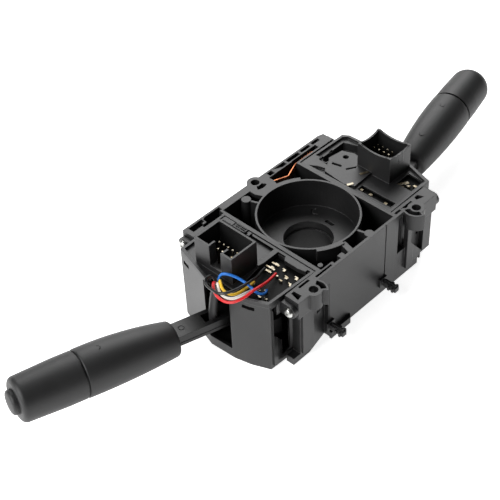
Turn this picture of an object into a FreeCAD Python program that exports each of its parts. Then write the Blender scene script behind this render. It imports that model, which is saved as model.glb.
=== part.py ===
"""Combination stalk switch of a car's steering column, in millimetres.

A moulded housing clamps round the steering column. A switch module slides into each end of it: the
left one for turn signals, dipping and the horn, the right one for the wipers. Each module is a case
with a lid that carries a connector, a contact board, a yoke that turns about an upright axis and a
lever that tilts in the yoke. Each lever ends in a grip sleeve and a turning knob.

The frame has its origin on the column's axis at the plate that faces the driver. +Z points away from
the driver, to the open side with the connectors. +X points to the wiper lever and +Y to the back rail.
"""
import FreeCAD, Part
import math
import os
import re

import Sketcher
from FreeCAD import Placement, Rotation, Vector

# Driving sizes: name, value in millimetres or degrees, meaning
SIZES = (
    ("housing_height", 54.0, "driver's plate to the rim of the cup"),
    ("left_rail", 8.4, "left pivot to the left end of the rails"),
    ("right_rail", 12.5, "right pivot to the right end of the rails"),
    ("front_rail", 5.6, "depth of the front rail beside the bays"),
    ("back_rail", 9.4, "depth of the back rail beside the bays"),
    ("back_core", 5.4, "depth of the back rail beside the basin"),
    ("left_web", 2.3, "cup to the left bay"),
    ("right_web", 0.9, "cup to the right bay"),
    ("wall", 2.0, "common wall of the mouldings"),
    ("floor", 2.4, "plate that faces the driver"),
    ("rail_wall", 1.5, "outer wall of the rails"),
    ("rail_depth", 30.0, "depth of the pockets in the rails"),
    ("cup_radius", 32.0, "outside of the cup"),
    ("cup_wall", 1.3, "wall of the cup"),
    ("ledge_depth", 20.0, "rim of the cup to its ledge"),
    ("tube_radius", 17.5, "outside of the column tube"),
    ("bore_radius", 14.6, "bore for the steering column"),
    ("throat_radius", 15.4, "wider mouth of the bore"),
    ("throat_depth", 6.2, "depth of the wider mouth below the ledge"),
    ("deck", 3.0, "thickness of the deck behind the cup"),
    ("column_stand", 2.0, "how far the columns of the front rail stand out"),
    ("front_recess", 3.4, "depth of the recesses between those columns"),
    ("boss_spread", 46.3, "column axis to each front screw, across"),
    ("boss_front", 45.2, "column axis to the front screws, forward"),
    ("boss_back", 43.9, "column axis to the back screw"),
    ("boss_radius", 5.3, "outside of a screw boss"),
    ("boss_height", 11.5, "height of a screw boss"),
    ("slot_near", 4.0, "screw to the near side of a boss's round slot"),
    ("slot_far", 7.3, "screw to the far side of that slot"),
    ("land", 1.2, "wall round that slot"),
    ("screw_hole", 2.75, "radius of the clearance hole for an M5 screw"),
    ("rib", 1.4, "thickness of the housing's ribs"),
    ("ball_radius", 3.0, "post at the end of each cup rib"),
    ("ball_reach", 40.0, "column axis to the post of each cup rib"),
    ("ear_stand", 6.3, "side of a case to its screws"),
    ("ear_drop", 3.7, "top of a case to its screws"),
    ("ear_radius", 4.4, "rounding of a case's screw ear"),
    ("ear_thickness", 3.0, "thickness of a screw ear"),
    ("case_screw_radius", 1.45, "shank of a case screw"),
    ("case_screw_head", 3.0, "head of a case screw"),
    ("case_screw_length", 10.0, "shank of a case screw below its head"),
    ("ring_lift", 1.4, "driver's plate to the cancelling ring"),
    ("ring_height", 10.6, "height of the cancelling ring"),
    ("ring_radius", 22.5, "outside of the cancelling ring"),
    ("lug_radius", 26.0, "outside of the ring's lugs"),
    ("lug_width", 24.0, "width of a lug, degrees"),
    ("running_gap", 0.05, "radial clearance of a turning or sliding fit"),
    ("loose_gap", 0.3, "clearance between pieces that only pass each other"),
    ("case_height", 50.5, "height of a switch case"),
    ("case_half", 36.0, "half width of a switch case"),
    ("case_gap", 0.4, "clearance between a case and its bay"),
    ("case_reach", 19.6, "lever pivot to the corners of a case"),
    ("left_bulge", 8.7, "how far the left case's end stands out"),
    ("right_bulge", 5.0, "how far the right case's end stands out"),
    ("lid_plate", 1.2, "thickness of a lid's plate"),
    ("lid_rim", 1.8, "width of a lid's raised rim"),
    ("lid_height", 3.0, "height of a lid with its rim"),
    ("slot_floor", 7.0, "height of the lip under a lever slot"),
    ("board_drop", 3.0, "top of a case to the underside of its board"),
    ("board", 1.5, "thickness of a contact board"),
    ("post_side", 3.0, "side of the posts that carry a board"),
    ("shroud_wall", 1.3, "wall of a connector shroud"),
    ("shroud_top", 70.5, "mouth of a connector shroud"),
    ("pin_top", 62.5, "tips of the connector pins"),
    ("pin_side", 0.9, "side of a connector pin"),
    ("tab_rise", 1.6, "height of a solder tab above its board"),
    ("pivot_stand", 20.0, "cup to each lever pivot"),
    ("pivot_front", 3.94, "column axis to each lever pivot, forward"),
    ("pivot_height", 22.13, "height of each lever pivot"),
    ("left_swing", 13.5, "left lever's angle in plan, degrees"),
    ("right_swing", 10.2, "right lever's angle in plan, degrees"),
    ("left_rise", 4.4, "left lever's slope, degrees"),
    ("right_rise", 3.8, "right lever's slope, degrees"),
    ("arm_half", 6.15, "half width of a lever arm"),
    ("arm_top", 2.6, "top of a lever arm above its axis"),
    ("arm_bottom", 4.8, "bottom of a lever arm below its axis"),
    ("arm_tail", 8.6, "pivot to the inner end of an arm"),
    ("arm_end", 109.0, "pivot to the outer end of the square arm"),
    ("notch_start", 25.5, "pivot to the wire notch in the left arm"),
    ("notch_end", 36.0, "pivot to the far end of the wire notch"),
    ("notch_half", 3.3, "half width of the wire notch"),
    ("notch_depth", 6.4, "depth of the wire notch"),
    ("spigot_radius", 5.0, "round end of an arm that carries the knob"),
    ("spigot_end", 140.0, "pivot to the end of the round part"),
    ("grip_start", 60.85, "pivot to the inner end of a grip sleeve"),
    ("grip_middle", 90.85, "pivot to the swell of a grip sleeve"),
    ("grip_end", 115.25, "pivot to the outer end of a grip sleeve"),
    ("grip_start_radius", 11.4, "grip sleeve at its inner end"),
    ("grip_middle_radius", 14.2, "grip sleeve at its swell"),
    ("grip_radius", 14.5, "grip sleeve and knob where they meet"),
    ("grip_droop", 2.4, "drop of a sleeve's inner end below the axis"),
    ("knob_gap", 1.2, "gap between sleeve and knob"),
    ("knob_end", 153.85, "pivot to the end of a knob"),
    ("knob_end_radius", 13.3, "knob near its end"),
    ("left_knob_round", 3.2, "rounding of the left knob's end"),
    ("right_knob_round", 10.5, "rounding of the right knob's end"),
    ("button_radius", 7.5, "horn button"),
    ("button_stand", 5.0, "how far the horn button stands out"),
    ("button_travel", 2.5, "travel of the horn button"),
    ("button_flange", 1.1, "step that keeps the horn button in its knob"),
    ("yoke_half", 9.5, "half width of a yoke"),
    ("yoke_front", 14.0, "pivot to the open end of a yoke"),
    ("yoke_back", 11.0, "pivot to the closed end of a yoke"),
    ("yoke_drop", 10.0, "pivot to the underside of a yoke"),
    ("yoke_head", 8.0, "pivot to the top of a yoke"),
    ("yoke_slot_top", 4.7, "pivot to the top of a yoke's slot"),
    ("yoke_slot_bottom", 6.9, "pivot to the bottom of a yoke's slot"),
    ("trunnion_radius", 3.0, "lower bearing pin of a yoke"),
    ("bearing_height", 5.0, "bearing boss above the case's floor"),
    ("post_radius", 3.5, "upright post of a yoke"),
    ("wiper_room", 3.5, "top of a yoke's post to the board"),
    ("top_pin_radius", 2.0, "upper bearing pin of a yoke"),
    ("lever_pin_radius", 1.5, "cross pin that carries a lever"),
    ("detent_reach", 17.0, "pivot to the detent plunger"),
    ("plunger_radius", 2.5, "detent plunger"),
    ("plunger_length", 12.0, "length of the detent plunger"),
    ("plunger_travel", 1.5, "travel of the detent plunger"),
    ("track", 1.1, "thickness of the detent plate"),
    ("spring_wire", 0.5, "wire of the coil springs"),
    ("detent_spring_radius", 1.9, "outside of a detent spring"),
    ("return_spring_radius", 1.85, "outside of a return spring"),
    ("return_spring_reach", 5.6, "pivot to the return spring"),
    ("spring_well", 2.2, "lever axis to the bottom of the return spring's well"),
    ("wiper", 0.5, "thickness of the contact wiper"),
    ("strip", 0.6, "thickness of the earth strip"),
    ("strip_height", 6.0, "height of the earth strip"),
    ("clip_reach", 12.0, "how far the trim clips stand out"),
    ("wire_radius", 0.85, "insulated wire"),
    ("sleeve_radius", 2.5, "wire sleeve"),
    ("wire_lift", 1.4, "mouth of the wire sleeve to the ends of the wires"),
)

# Sizes that follow from others: name, formula, meaning
DERIVED = (
    ("pivot_reach", "cup_radius + pivot_stand", "column axis to each lever pivot, across"),
    ("case_corner", "pivot_reach + case_reach", "column axis to the corners of a case"),
    ("bay_left", "cup_radius + left_web", "column axis to the left bay's inner end"),
    ("bay_right", "cup_radius + right_web", "column axis to the right bay's inner end"),
    ("bay_half", "case_half + case_gap", "half width of both bays"),
    ("housing_left", "pivot_reach + left_rail", "column axis to the left end of the rails"),
    ("housing_right", "pivot_reach + right_rail", "column axis to the right end of the rails"),
    ("housing_front", "bay_half + front_rail", "column axis to the face of the front rail"),
    ("housing_back", "bay_half + back_rail", "column axis to the face of the back rail"),
    ("basin_back", "housing_back - back_core", "column axis to the back of the open basin"),
    ("ear_reach", "case_half + ear_stand", "column axis to the case screws, forward and back"),
    ("ear_height", "case_height - ear_drop", "height of the case screws"),
    ("board_lift", "case_height - board_drop", "underside of a contact board"),
    ("post_top", "board_lift - wiper_room", "top of a yoke's post"),
)


def make_sheet(document):
    """The document's sheet: the driving sizes and the sizes that follow, one row for each."""
    table = document.addObject("Spreadsheet::Sheet", "Sizes")
    rows = [(alias, str(number), meaning) for alias, number, meaning in SIZES]
    rows += [(alias, "=" + formula, meaning) for alias, formula, meaning in DERIVED]
    for row, (alias, content, meaning) in enumerate(rows, start=1):
        table.set("A%d" % row, alias)
        table.set("C%d" % row, meaning)
        table.setAlias("B%d" % row, alias)
        table.set("B%d" % row, content)
    document.recompute()
    return table


doc = FreeCAD.newDocument("StalkSwitch")
sheet = make_sheet(doc)
NAMES = {row[0] for row in SIZES + DERIVED}
nodes = []


def bound(text):
    """A formula with each of its size names pointing at the sheet."""
    return re.sub(
        r"[a-z][a-z_]+",
        lambda word: "Sizes." + word.group() if word.group() in NAMES else word.group(),
        text,
    )


def size(text):
    """The present value of a formula."""
    return float(sheet.evalExpression(text))


def bind(item, **formulas):
    """Ties properties of a document object to formulas; a double underscore stands for a dot."""
    for name, text in formulas.items():
        item.setExpression(name.replace("__", "."), bound(text))
    return item


def node(item, label):
    """Names a finished sub-part and lists it for the files."""
    item.Label = label
    nodes.append(item)
    return item


# Helpers for PartDesign bodies


def new_body(name):
    """An empty body."""
    return doc.addObject("PartDesign::Body", name)


def plane_of(body, role):
    """One of the body's own origin planes."""
    return next(plane for plane in body.Origin.OriginFeatures if plane.Role == role + "_Plane")


def pin_point(sketch, element, vertex, x, y):
    """Fixes one sketch point by two formulas measured from the sketch's origin."""
    for kind, text in (("DistanceX", x), ("DistanceY", y)):
        index = sketch.addConstraint(Sketcher.Constraint(kind, -1, 1, element, vertex, size(text)))
        sketch.setExpression("Constraints[%d]" % index, bound(text))


def draw_circle(sketch, x, y, radius):
    """A circle whose centre and radius are formulas."""
    centre = Vector(size(x), size(y), 0)
    element = sketch.addGeometry(Part.Circle(centre, Vector(0, 0, 1), size(radius)))
    index = sketch.addConstraint(Sketcher.Constraint("Radius", element, size(radius)))
    sketch.setExpression("Constraints[%d]" % index, bound(radius))
    pin_point(sketch, element, 3, x, y)


def draw_polygon(sketch, corners):
    """A closed outline whose corners are pairs of formulas."""
    points = [Vector(size(x), size(y), 0) for x, y in corners]
    first = sketch.GeometryCount
    count = len(points)
    for index, point in enumerate(points):
        sketch.addGeometry(Part.LineSegment(point, points[(index + 1) % count]))
    for index, (x, y) in enumerate(corners):
        follower = first + (index + 1) % count
        sketch.addConstraint(Sketcher.Constraint("Coincident", first + index, 2, follower, 1))
        pin_point(sketch, first + index, 1, x, y)


def draw_band(sketch, x, y, near, far, start, end):
    """A stretch of a ring round one point, from its start angle on to its end angle."""
    centre = Vector(size(x), size(y), 0)
    low, high = math.radians(float(start)), math.radians(float(end))
    first = sketch.GeometryCount
    for radius in (near, far):
        circle = Part.Circle(centre, Vector(0, 0, 1), size(radius))
        sketch.addGeometry(Part.ArcOfCircle(circle, low, high))
    for element, radius in ((first, near), (first + 1, far)):
        index = sketch.addConstraint(Sketcher.Constraint("Radius", element, size(radius)))
        sketch.setExpression("Constraints[%d]" % index, bound(radius))
        for vertex, angle in ((1, start), (2, end)):
            spot_x = "%s + (%s) * cos(%s)" % (x, radius, angle)
            spot_y = "%s + (%s) * sin(%s)" % (y, radius, angle)
            pin_point(sketch, element, vertex, spot_x, spot_y)
    for vertex, angle in ((1, low), (2, high)):
        ray = Vector(math.cos(angle), math.sin(angle), 0)
        closing = Part.LineSegment(centre + ray * size(near), centre + ray * size(far))
        element = sketch.addGeometry(closing)
        sketch.addConstraint(Sketcher.Constraint("Coincident", first, vertex, element, 1))
        sketch.addConstraint(Sketcher.Constraint("Coincident", first + 1, vertex, element, 2))


def draw(body, name, plane, offset, loops):
    """A sketch at an offset from one of the body's planes: circles, bands or lists of corners."""
    sketch = body.newObject("Sketcher::SketchObject", name)
    sketch.AttachmentSupport = [(plane_of(body, plane), "")]
    sketch.MapMode = "FlatFace"
    bind(sketch, AttachmentOffset__Base__z=offset)
    for loop in loops:
        if len(loop) == 3 and isinstance(loop[0], str):
            draw_circle(sketch, *loop)
        elif isinstance(loop[0], str):
            draw_band(sketch, *loop)
        else:
            draw_polygon(sketch, loop)
    return sketch


def rectangle(x_low, x_high, y_low, y_high):
    """The corners of an upright rectangle."""
    return [(x_low, y_low), (x_high, y_low), (x_high, y_high), (x_low, y_high)]


def sketched(kind, body, name, plane, offset, length, loops, reverse):
    """A pad or pocket from a new sketch."""
    profile = draw(body, name + "_sketch", plane, offset, loops)
    feature = body.newObject(kind, name)
    feature.Profile = profile
    feature.Reversed = reverse
    return bind(feature, Length=length)


def pad(body, name, plane, offset, length, *loops, reverse=False):
    """Material added along the plane's normal."""
    return sketched("PartDesign::Pad", body, name, plane, offset, length, loops, reverse)


def pocket(body, name, plane, offset, depth, *loops, reverse=False):
    """Material removed against the plane's normal."""
    return sketched("PartDesign::Pocket", body, name, plane, offset, depth, loops, reverse)


def revolve(body, kind, name, axis_role, loop):
    """A revolved pad or groove whose profile lies in the XZ plane."""
    profile = draw(body, name + "_sketch", "XZ", "0", [loop])
    feature = body.newObject(kind, name)
    feature.Profile = profile
    axis = next(line for line in body.Origin.OriginFeatures if line.Role == axis_role + "_Axis")
    feature.ReferenceAxis = (axis, [""])
    feature.Angle = 360
    return feature


def upright_edges(feature, places, slack=0.05):
    """Names of the feature's upright edges that stand at the given places."""
    spots = [(size(x), size(y)) for x, y in places]
    names = []
    for index, edge in enumerate(feature.Shape.Edges, start=1):
        ends = [vertex.Point for vertex in edge.Vertexes]
        if len(ends) != 2 or math.dist(ends[0][:2], ends[1][:2]) > slack:
            continue
        if any(math.dist(ends[0][:2], spot) < slack for spot in spots):
            names.append("Edge%d" % index)
    return names


def round_edges(body, name, base, names, radius):
    """A fillet on the named edges of a feature."""
    feature = body.newObject("PartDesign::Fillet", name)
    feature.Base = (base, names)
    return bind(feature, Radius=radius)


# Helpers for primitives and booleans


def block(name, low, high):
    """A box between two corners given as formulas."""
    box = doc.addObject("Part::Box", name)
    for side, axis, start, end in zip(("Length", "Width", "Height"), "xyz", low, high):
        box.setExpression(side, bound("(%s) - (%s)" % (end, start)))
        box.setExpression("Placement.Base." + axis, bound(start))
    return box


TURNS = {
    "x": Rotation(Vector(0, 1, 0), 90),
    "y": Rotation(Vector(1, 0, 0), -90),
    "z": Rotation(),
}


def rod(name, base, radius, length, axis="z"):
    """A cylinder from its base point along one axis."""
    cylinder = doc.addObject("Part::Cylinder", name)
    cylinder.Placement = Placement(Vector(), TURNS[axis])
    for letter, text in zip("xyz", base):
        cylinder.setExpression("Placement.Base." + letter, bound(text))
    return bind(cylinder, Radius=radius, Height=length)


def fuse(name, *pieces):
    """One solid made of several."""
    item = doc.addObject("Part::MultiFuse", name)
    item.Shapes = list(pieces)
    return item


def cut(name, base, *tools):
    """A solid with others removed from it."""
    item = doc.addObject("Part::Cut", name)
    item.Base = base
    item.Tool = tools[0] if len(tools) == 1 else fuse(name + "_tools", *tools)
    return item


def together(name, *pieces):
    """Several separate solids that share one node."""
    item = doc.addObject("Part::Compound", name)
    item.Links = list(pieces)
    return item


# Places that follow a side of the switch


def across(side, text):
    """A formula along X, mirrored for the left side."""
    return "-(%s)" % text if side == "left" else text


def span(side, near, far):
    """A stretch along X from near to far off the column, in rising order."""
    return ("-(%s)" % far, "-(%s)" % near) if side == "left" else (near, far)


def stand(item, side, tilted):
    """Sets a piece drawn round the lever pivot, along +X, in its place on the switch."""
    swing = size(side + "_swing")
    yaw = 180 - swing if side == "left" else swing
    turn = Rotation(Vector(0, 0, 1), yaw)
    if tilted:
        turn = turn.multiply(Rotation(Vector(0, 1, 0), -size(side + "_rise")))
    item.Placement = Placement(Vector(), turn)
    return bind(
        item,
        Placement__Base__x=across(side, "pivot_reach"),
        Placement__Base__y="-pivot_front",
        Placement__Base__z="pivot_height",
    )


def case_outline(side, inset="0"):
    """The plan of a switch case, pulled in by an inset."""
    inner = across(side, "bay_%s + loose_gap + (%s)" % (side, inset))
    y_low = "-case_half + (%s)" % inset
    y_high = "case_half - (%s)" % inset

    def outer(share):
        return across(side, "case_corner + %s * %s_bulge - (%s)" % (share, side, inset))

    if side == "left":
        end = [
            (outer(0), "-case_half + 1.5 + (%s)" % inset),
            (outer(0.55), "-case_half + 12.7"),
            (outer(0.86), "-case_half + 23.5"),
            (outer(1), "6"),
            (outer(0.5), "case_half - 14.8"),
            (outer(0.05), "case_half - 0.4 - (%s)" % inset),
        ]
    else:
        end = [
            (outer(0), "-case_half + 0.6 + (%s)" % inset),
            (outer(1), "-case_half + 18"),
            (outer(0.7), "case_half - 12"),
            (outer(0.65), "case_half - 5"),
            (outer(0.12), "case_half - 0.8 - (%s)" % inset),
        ]
    return [(inner, y_low)] + end + [(inner, y_high)]


# The housing


def make_housing():
    """The moulded frame with the column cup, two open bays, ribs and screw bosses."""
    body = new_body("Housing")
    top = "housing_height"
    ledge = top + " - ledge_depth"
    cup_inside = "cup_radius - cup_wall"
    column_face = "-housing_front - column_stand"
    pad(
        body,
        "block",
        "XY",
        "0",
        top,
        [
            ("-housing_left", "-housing_front"),
            ("housing_right", "-housing_front"),
            ("housing_right", "housing_back - 1.2"),
            ("housing_right - 4", "housing_back"),
            ("-housing_left", "housing_back"),
        ],
    )
    pad(
        body,
        "screw_columns",
        "XY",
        "ear_height - ear_radius - 1",
        top + " - ear_height + ear_radius + 1",
        rectangle("-housing_left", "-boss_spread", "-ear_reach - ear_radius", "-housing_front + 1"),
        rectangle("boss_spread", "housing_right", "-ear_reach - ear_radius", "-housing_front + 1"),
    )
    pad(
        body,
        "front_columns",
        "XY",
        "6",
        top + " - 6",
        rectangle("32", "35.2", column_face, "-housing_front + 1"),
        rectangle("41.5", "47.5", column_face, "-housing_front + 1"),
        rectangle("54.5", "housing_right", column_face, "-housing_front + 1"),
        rectangle("-54", "-boss_spread + 1.5", column_face, "-housing_front + 1"),
    )
    pad(
        body,
        "foot",
        "XY",
        "0",
        "5",
        [
            ("-30", "-housing_front + 1"),
            ("-30", "-housing_front - 2.6"),
            ("-12.4", "-housing_front - 2.6"),
            ("-9", "-housing_front + 1"),
        ],
    )
    pocket(
        body,
        "bays",
        "XY",
        top,
        top,
        rectangle("-housing_left - 10", "-bay_left", "-bay_half", "bay_half"),
        rectangle("bay_right", "housing_right + 10", "-bay_half - 0.4", "bay_half"),
    )
    basin_left = "-bay_left + wall + 0.6"
    basin_right = "bay_right - wall"
    pocket(
        body,
        "basin",
        "XY",
        top,
        top + " - floor",
        rectangle(basin_left, basin_right, "-housing_front + wall", "basin_back"),
    )
    pad(
        body,
        "wall_steps",
        "XY",
        "0",
        top,
        rectangle("-bay_left + 1", "-22.4", "-housing_front + 1", "-housing_front + 4"),
        rectangle("-16.8", "-12.9", "-housing_front + 1", "-housing_front + 4.8"),
        ("-29", "-housing_front + 7", "1.6"),
    )
    pad(body, "cup", "XY", "0", top, ("0", "0", "cup_radius"))
    pad(
        body,
        "cup_rim_steps",
        "XY",
        top + " - 9",
        "9",
        ("0", "0", "cup_radius - 0.6", "cup_radius + 2", "-130", "-100"),
        ("0", "0", "cup_radius - 0.6", "cup_radius + 2", "50", "79"),
    )
    pad(
        body,
        "deck",
        "XY",
        top + " - deck",
        "deck",
        [
            ("-0.18 * cup_radius", "0.94 * cup_radius"),
            ("-8.4", "cup_radius + 4"),
            ("-8.4", "basin_back + 1"),
            ("9", "basin_back + 1"),
            ("9", "cup_radius + 4"),
            ("0.2 * cup_radius", "0.94 * cup_radius"),
        ],
    )
    pad(
        body,
        "posts",
        "XY",
        "0",
        top,
        ("-ball_reach * sin(22.3)", "ball_reach * cos(22.3)", "ball_radius"),
        ("ball_reach * sin(14.8)", "-ball_reach * cos(14.8)", "ball_radius"),
    )
    for name, along, back in (("back", "-sin(22.3)", "cos(22.3)"), ("front", "sin(14.8)", "-cos(14.8)")):
        corners = []
        for reach, half in (
            ("(cup_radius - 1)", "rib / 2"),
            ("ball_reach", "rib / 2"),
            ("ball_reach", "-rib / 2"),
            ("(cup_radius - 1)", "-rib / 2"),
        ):
            x = "%s * %s - (%s) * %s" % (reach, along, half, back)
            y = "%s * %s + (%s) * %s" % (reach, back, half, along)
            corners.append((x, y))
        pad(body, name + "_cup_rib", "XY", "0", top + " - 0.6", corners)
    pad(
        body,
        "slanted_rib",
        "XY",
        "0",
        top + " - 0.6",
        [
            ("-3.6", "-31"),
            ("-7.4", "-31"),
            ("-10.2", "-housing_front + 1"),
            ("-6", "-housing_front + 1"),
        ],
    )
    pocket(body, "cup_mouth", "XY", top, "ledge_depth", ("0", "0", cup_inside))
    pocket(body, "throat", "XY", ledge, "throat_depth", ("0", "0", "throat_radius"))
    pocket(
        body,
        "column_bore",
        "XY",
        ledge + " - throat_depth",
        ledge + " - throat_depth",
        ("0", "0", "bore_radius"),
    )
    pocket(
        body,
        "ring_chamber",
        "XY",
        "0",
        ledge + " - wall",
        ("0", "0", cup_inside),
        ("0", "0", "tube_radius"),
        reverse=True,
    )
    shoulder = "ring_lift + ring_height + loose_gap"
    pad(
        body,
        "ring_shoulder",
        "XY",
        shoulder,
        "%s - wall - (%s)" % (ledge, shoulder),
        ("0", "0", "tube_radius + 2"),
        ("0", "0", "tube_radius - 0.4"),
    )
    pocket(
        body,
        "circlip_groove",
        "XY",
        "0.4",
        "0.8",
        ("0", "0", "tube_radius + 1"),
        ("0", "0", "tube_radius - 0.7"),
        reverse=True,
    )
    pocket(
        body,
        "ledge_recess",
        "XY",
        ledge,
        "0.6",
        [
            ("23.4", "15"),
            ("21.4", "16.5"),
            ("18.2", "14.5"),
            ("17.9", "12.4"),
            ("19.3", "10"),
            ("20.2", "10.6"),
            ("19.1", "12.5"),
            ("19.3", "13.8"),
            ("21.4", "15.2"),
            ("22.7", "14.2"),
        ],
    )
    pocket(
        body,
        "brush_window",
        "XY",
        ledge,
        "wall",
        [("17.4", "-3.6"), ("19.8", "-4.2"), ("20.4", "2.4"), ("17.8", "3")],
    )
    pocket(
        body,
        "pawl_window",
        "YZ",
        "-bay_left - 1",
        "bay_left - cup_radius + cup_wall + 6",
        rectangle("-11.5", "5.5", "7.4", "13"),
        reverse=True,
    )
    rail_back = "housing_back - rail_wall"
    pocket(
        body,
        "back_rail_pockets",
        "XY",
        top,
        "rail_depth",
        [
            ("16", rail_back),
            ("22.4", "housing_back - 4.4"),
            ("26.4", "housing_back - 4.4"),
            ("26.4", rail_back),
        ],
        rectangle("10.8", "15", "housing_back - 4.6", rail_back),
        rectangle("28.2", "39.4", "housing_back - 4.2", rail_back),
        rectangle("41", "49.6", "housing_back - 3.8", rail_back),
        rectangle("51.6", "58.4", "housing_back - 3.8", rail_back),
        rectangle("-44.6", "-31.4", "housing_back - 4.2", rail_back),
        rectangle("-50", "-46.2", "housing_back - 4.2", rail_back),
    )
    pocket(
        body,
        "earth_channel",
        "XY",
        top,
        "strip_height + wall",
        rectangle(
            "bay_right - wall - 1",
            "pivot_reach + 0.4",
            "housing_back - 8.1",
            "housing_back - 5",
        ),
    )
    pocket(
        body,
        "left_channel",
        "XY",
        top,
        "12",
        rectangle("-50", "-35.6", "housing_back - 7.9", "housing_back - 5.6"),
    )
    pocket(
        body,
        "front_rail_pockets",
        "XY",
        top,
        "rail_depth",
        rectangle("-38", "-24.6", "-housing_front + 1.7", "-housing_front + 3"),
        rectangle("-50.8", "-42.4", "-housing_front + 3", "-housing_front + 4.4"),
        rectangle("39.6", "48.9", "-housing_front + 1.2", "-housing_front + 3"),
        rectangle("bay_right + 0.6", "38.4", "-housing_front + 1.8", "-housing_front + 3.4"),
        [
            ("52", "-housing_front + 1.2"),
            ("57.4", "-housing_front - 0.6"),
            ("56", "-housing_front + 3.6"),
            ("52.6", "-housing_front + 3.2"),
        ],
    )
    pocket(
        body,
        "screw_view",
        "XY",
        top,
        top + " - ear_height - case_screw_radius - 1.2",
        [
            ("-58.4", "-housing_front - 2.4"),
            ("-54.4", "-housing_front - 1.6"),
            ("-54.8", "-housing_front + 4"),
            ("-57.1", "-housing_front + 3.8"),
        ],
    )
    pocket(
        body,
        "front_recesses",
        "XZ",
        "housing_front",
        "front_recess",
        rectangle("35.2", "41.5", "15", "50"),
        rectangle("47.5", "54.5", "9", "38"),
        rectangle("-59.6", "-57.6", "13", "38"),
    )
    pocket(
        body,
        "slanted_recess",
        "XY",
        "44",
        "29",
        [
            ("-boss_spread + 1.5", "-housing_front - 0.5"),
            ("-28.5", "-housing_front - 0.5"),
            ("-28.5", "-housing_front"),
            ("-30.6", "-housing_front + 1.1"),
            ("-boss_spread + 1.5", "-housing_front"),
        ],
    )
    pocket(
        body,
        "front_slot",
        "XZ",
        "housing_front",
        "2.4",
        rectangle("-33.6", "-31.4", "25", "43"),
    )
    pocket(
        body,
        "front_grooves",
        "XY",
        top,
        top + " - 8",
        rectangle("21.6", "22.6", "-housing_front - 1", "-housing_front + 0.7"),
        rectangle("-57", "-56.4", "-housing_front - 1", "-housing_front + 0.5"),
    )
    pocket(
        body,
        "right_foot_step",
        "XY",
        "10",
        "10",
        rectangle("55.6", "housing_right + 1", "-housing_front - 3", "-bay_half + 1"),
    )
    screws = (
        ("-boss_spread", "-boss_front", "-42", "27"),
        ("boss_spread", "-boss_front", "147", "245"),
        ("0", "boss_back", "236", "300"),
    )
    boss_foot = top + " - boss_height"
    pad(
        body,
        "boss_lands",
        "XY",
        boss_foot,
        "boss_height",
        *[
            (x, y, "screw_hole + 0.5", "slot_far + land", str(float(low) - 12), str(float(high) + 12))
            for x, y, low, high in screws[:2]
        ],
    )
    pad(body, "bosses", "XY", boss_foot, "boss_height", *[(x, y, "boss_radius") for x, y, low, high in screws])
    pocket(
        body,
        "boss_slots",
        "XY",
        top,
        "boss_height - land",
        *[(x, y, "slot_near", "slot_far", low, high) for x, y, low, high in screws],
    )
    holes = [(x, y, "screw_hole") for x, y, low, high in screws]
    pocket(body, "screw_holes", "XY", top, "boss_height + 1", *holes)
    for side, sign in (("left", "-"), ("right", "")):
        pocket(
            body,
            side + "_pilot_holes",
            "YZ",
            sign + "(housing_%s + 0.1)" % side,
            "case_screw_length + 1",
            ("-ear_reach", "ear_height", "case_screw_radius + running_gap"),
            ("ear_reach", "ear_height", "case_screw_radius + running_gap"),
            reverse=side == "left",
        )
    return node(body, "column_housing")


def make_ring():
    """The cancelling ring turns on the column tube and carries two lugs."""
    body = new_body("CancelRing")
    bore = ("0", "0", "tube_radius + running_gap")
    pad(body, "rim", "XY", "ring_lift", "ring_height", ("0", "0", "ring_radius"), bore)
    for name, turn in (("near", 90), ("far", 270)):
        low, high = ("%d - lug_width / 2" % turn, "%d + lug_width / 2" % turn)
        inner = "(ring_radius - 1)"
        pad(
            body,
            name + "_lug",
            "XY",
            "ring_lift",
            "ring_height",
            [
                (inner + " * cos(%s)" % low, inner + " * sin(%s)" % low),
                ("lug_radius * cos(%s + 4)" % low, "lug_radius * sin(%s + 4)" % low),
                ("lug_radius * cos(%s - 4)" % high, "lug_radius * sin(%s - 4)" % high),
                (inner + " * cos(%s)" % high, inner + " * sin(%s)" % high),
            ],
        )
    pocket(
        body,
        "drive_slots",
        "XY",
        "ring_lift",
        "3.5",
        rectangle("tube_radius + 1", "ring_radius + 1", "-2.5", "2.5"),
        rectangle("-ring_radius - 1", "-tube_radius - 1", "-2.5", "2.5"),
        reverse=True,
    )
    node(body, "cancel_ring")
    plate = rod("circlip_plate", ("0", "0", "0.5"), "tube_radius + 1.6", "0.6")
    hole = rod("circlip_hole", ("0", "0", "0"), "tube_radius - 0.6", "2")
    gap = block("circlip_gap", ("-1.5", "0", "0"), ("1.5", "tube_radius + 3", "2"))
    node(cut("Circlip", plate, hole, gap), "ring_circlip")


def make_earth_strip():
    """A bent copper strip on edge that runs from the cup's back to the wiper module."""
    drops = ((10.6, 7.6), (20.0, 11.2), (27.4, 8.2), (31.5, 6.6), (43.8, 6.2), (48.3, 6.4))
    corners = [(x, size("housing_back") - drop) for x, drop in drops]
    half = size("strip") / 2
    near, far = [], []
    for index, (x, y) in enumerate(corners):
        before = corners[max(index - 1, 0)]
        after = corners[min(index + 1, len(corners) - 1)]
        run = math.hypot(after[0] - before[0], after[1] - before[1])
        across_x, across_y = (before[1] - after[1]) / run * half, (after[0] - before[0]) / run * half
        near.append(Vector(x - across_x, y - across_y, 0))
        far.append(Vector(x + across_x, y + across_y, 0))
    outline = Part.makePolygon(near + far[::-1] + near[:1])
    strip = doc.addObject("Part::Feature", "EarthStrip")
    strip.Shape = Part.Face(outline).extrude(Vector(0, 0, size("strip_height")))
    bind(strip, Placement__Base__z="housing_height - strip_height - wall")
    node(strip, "earth_strip")


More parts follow.
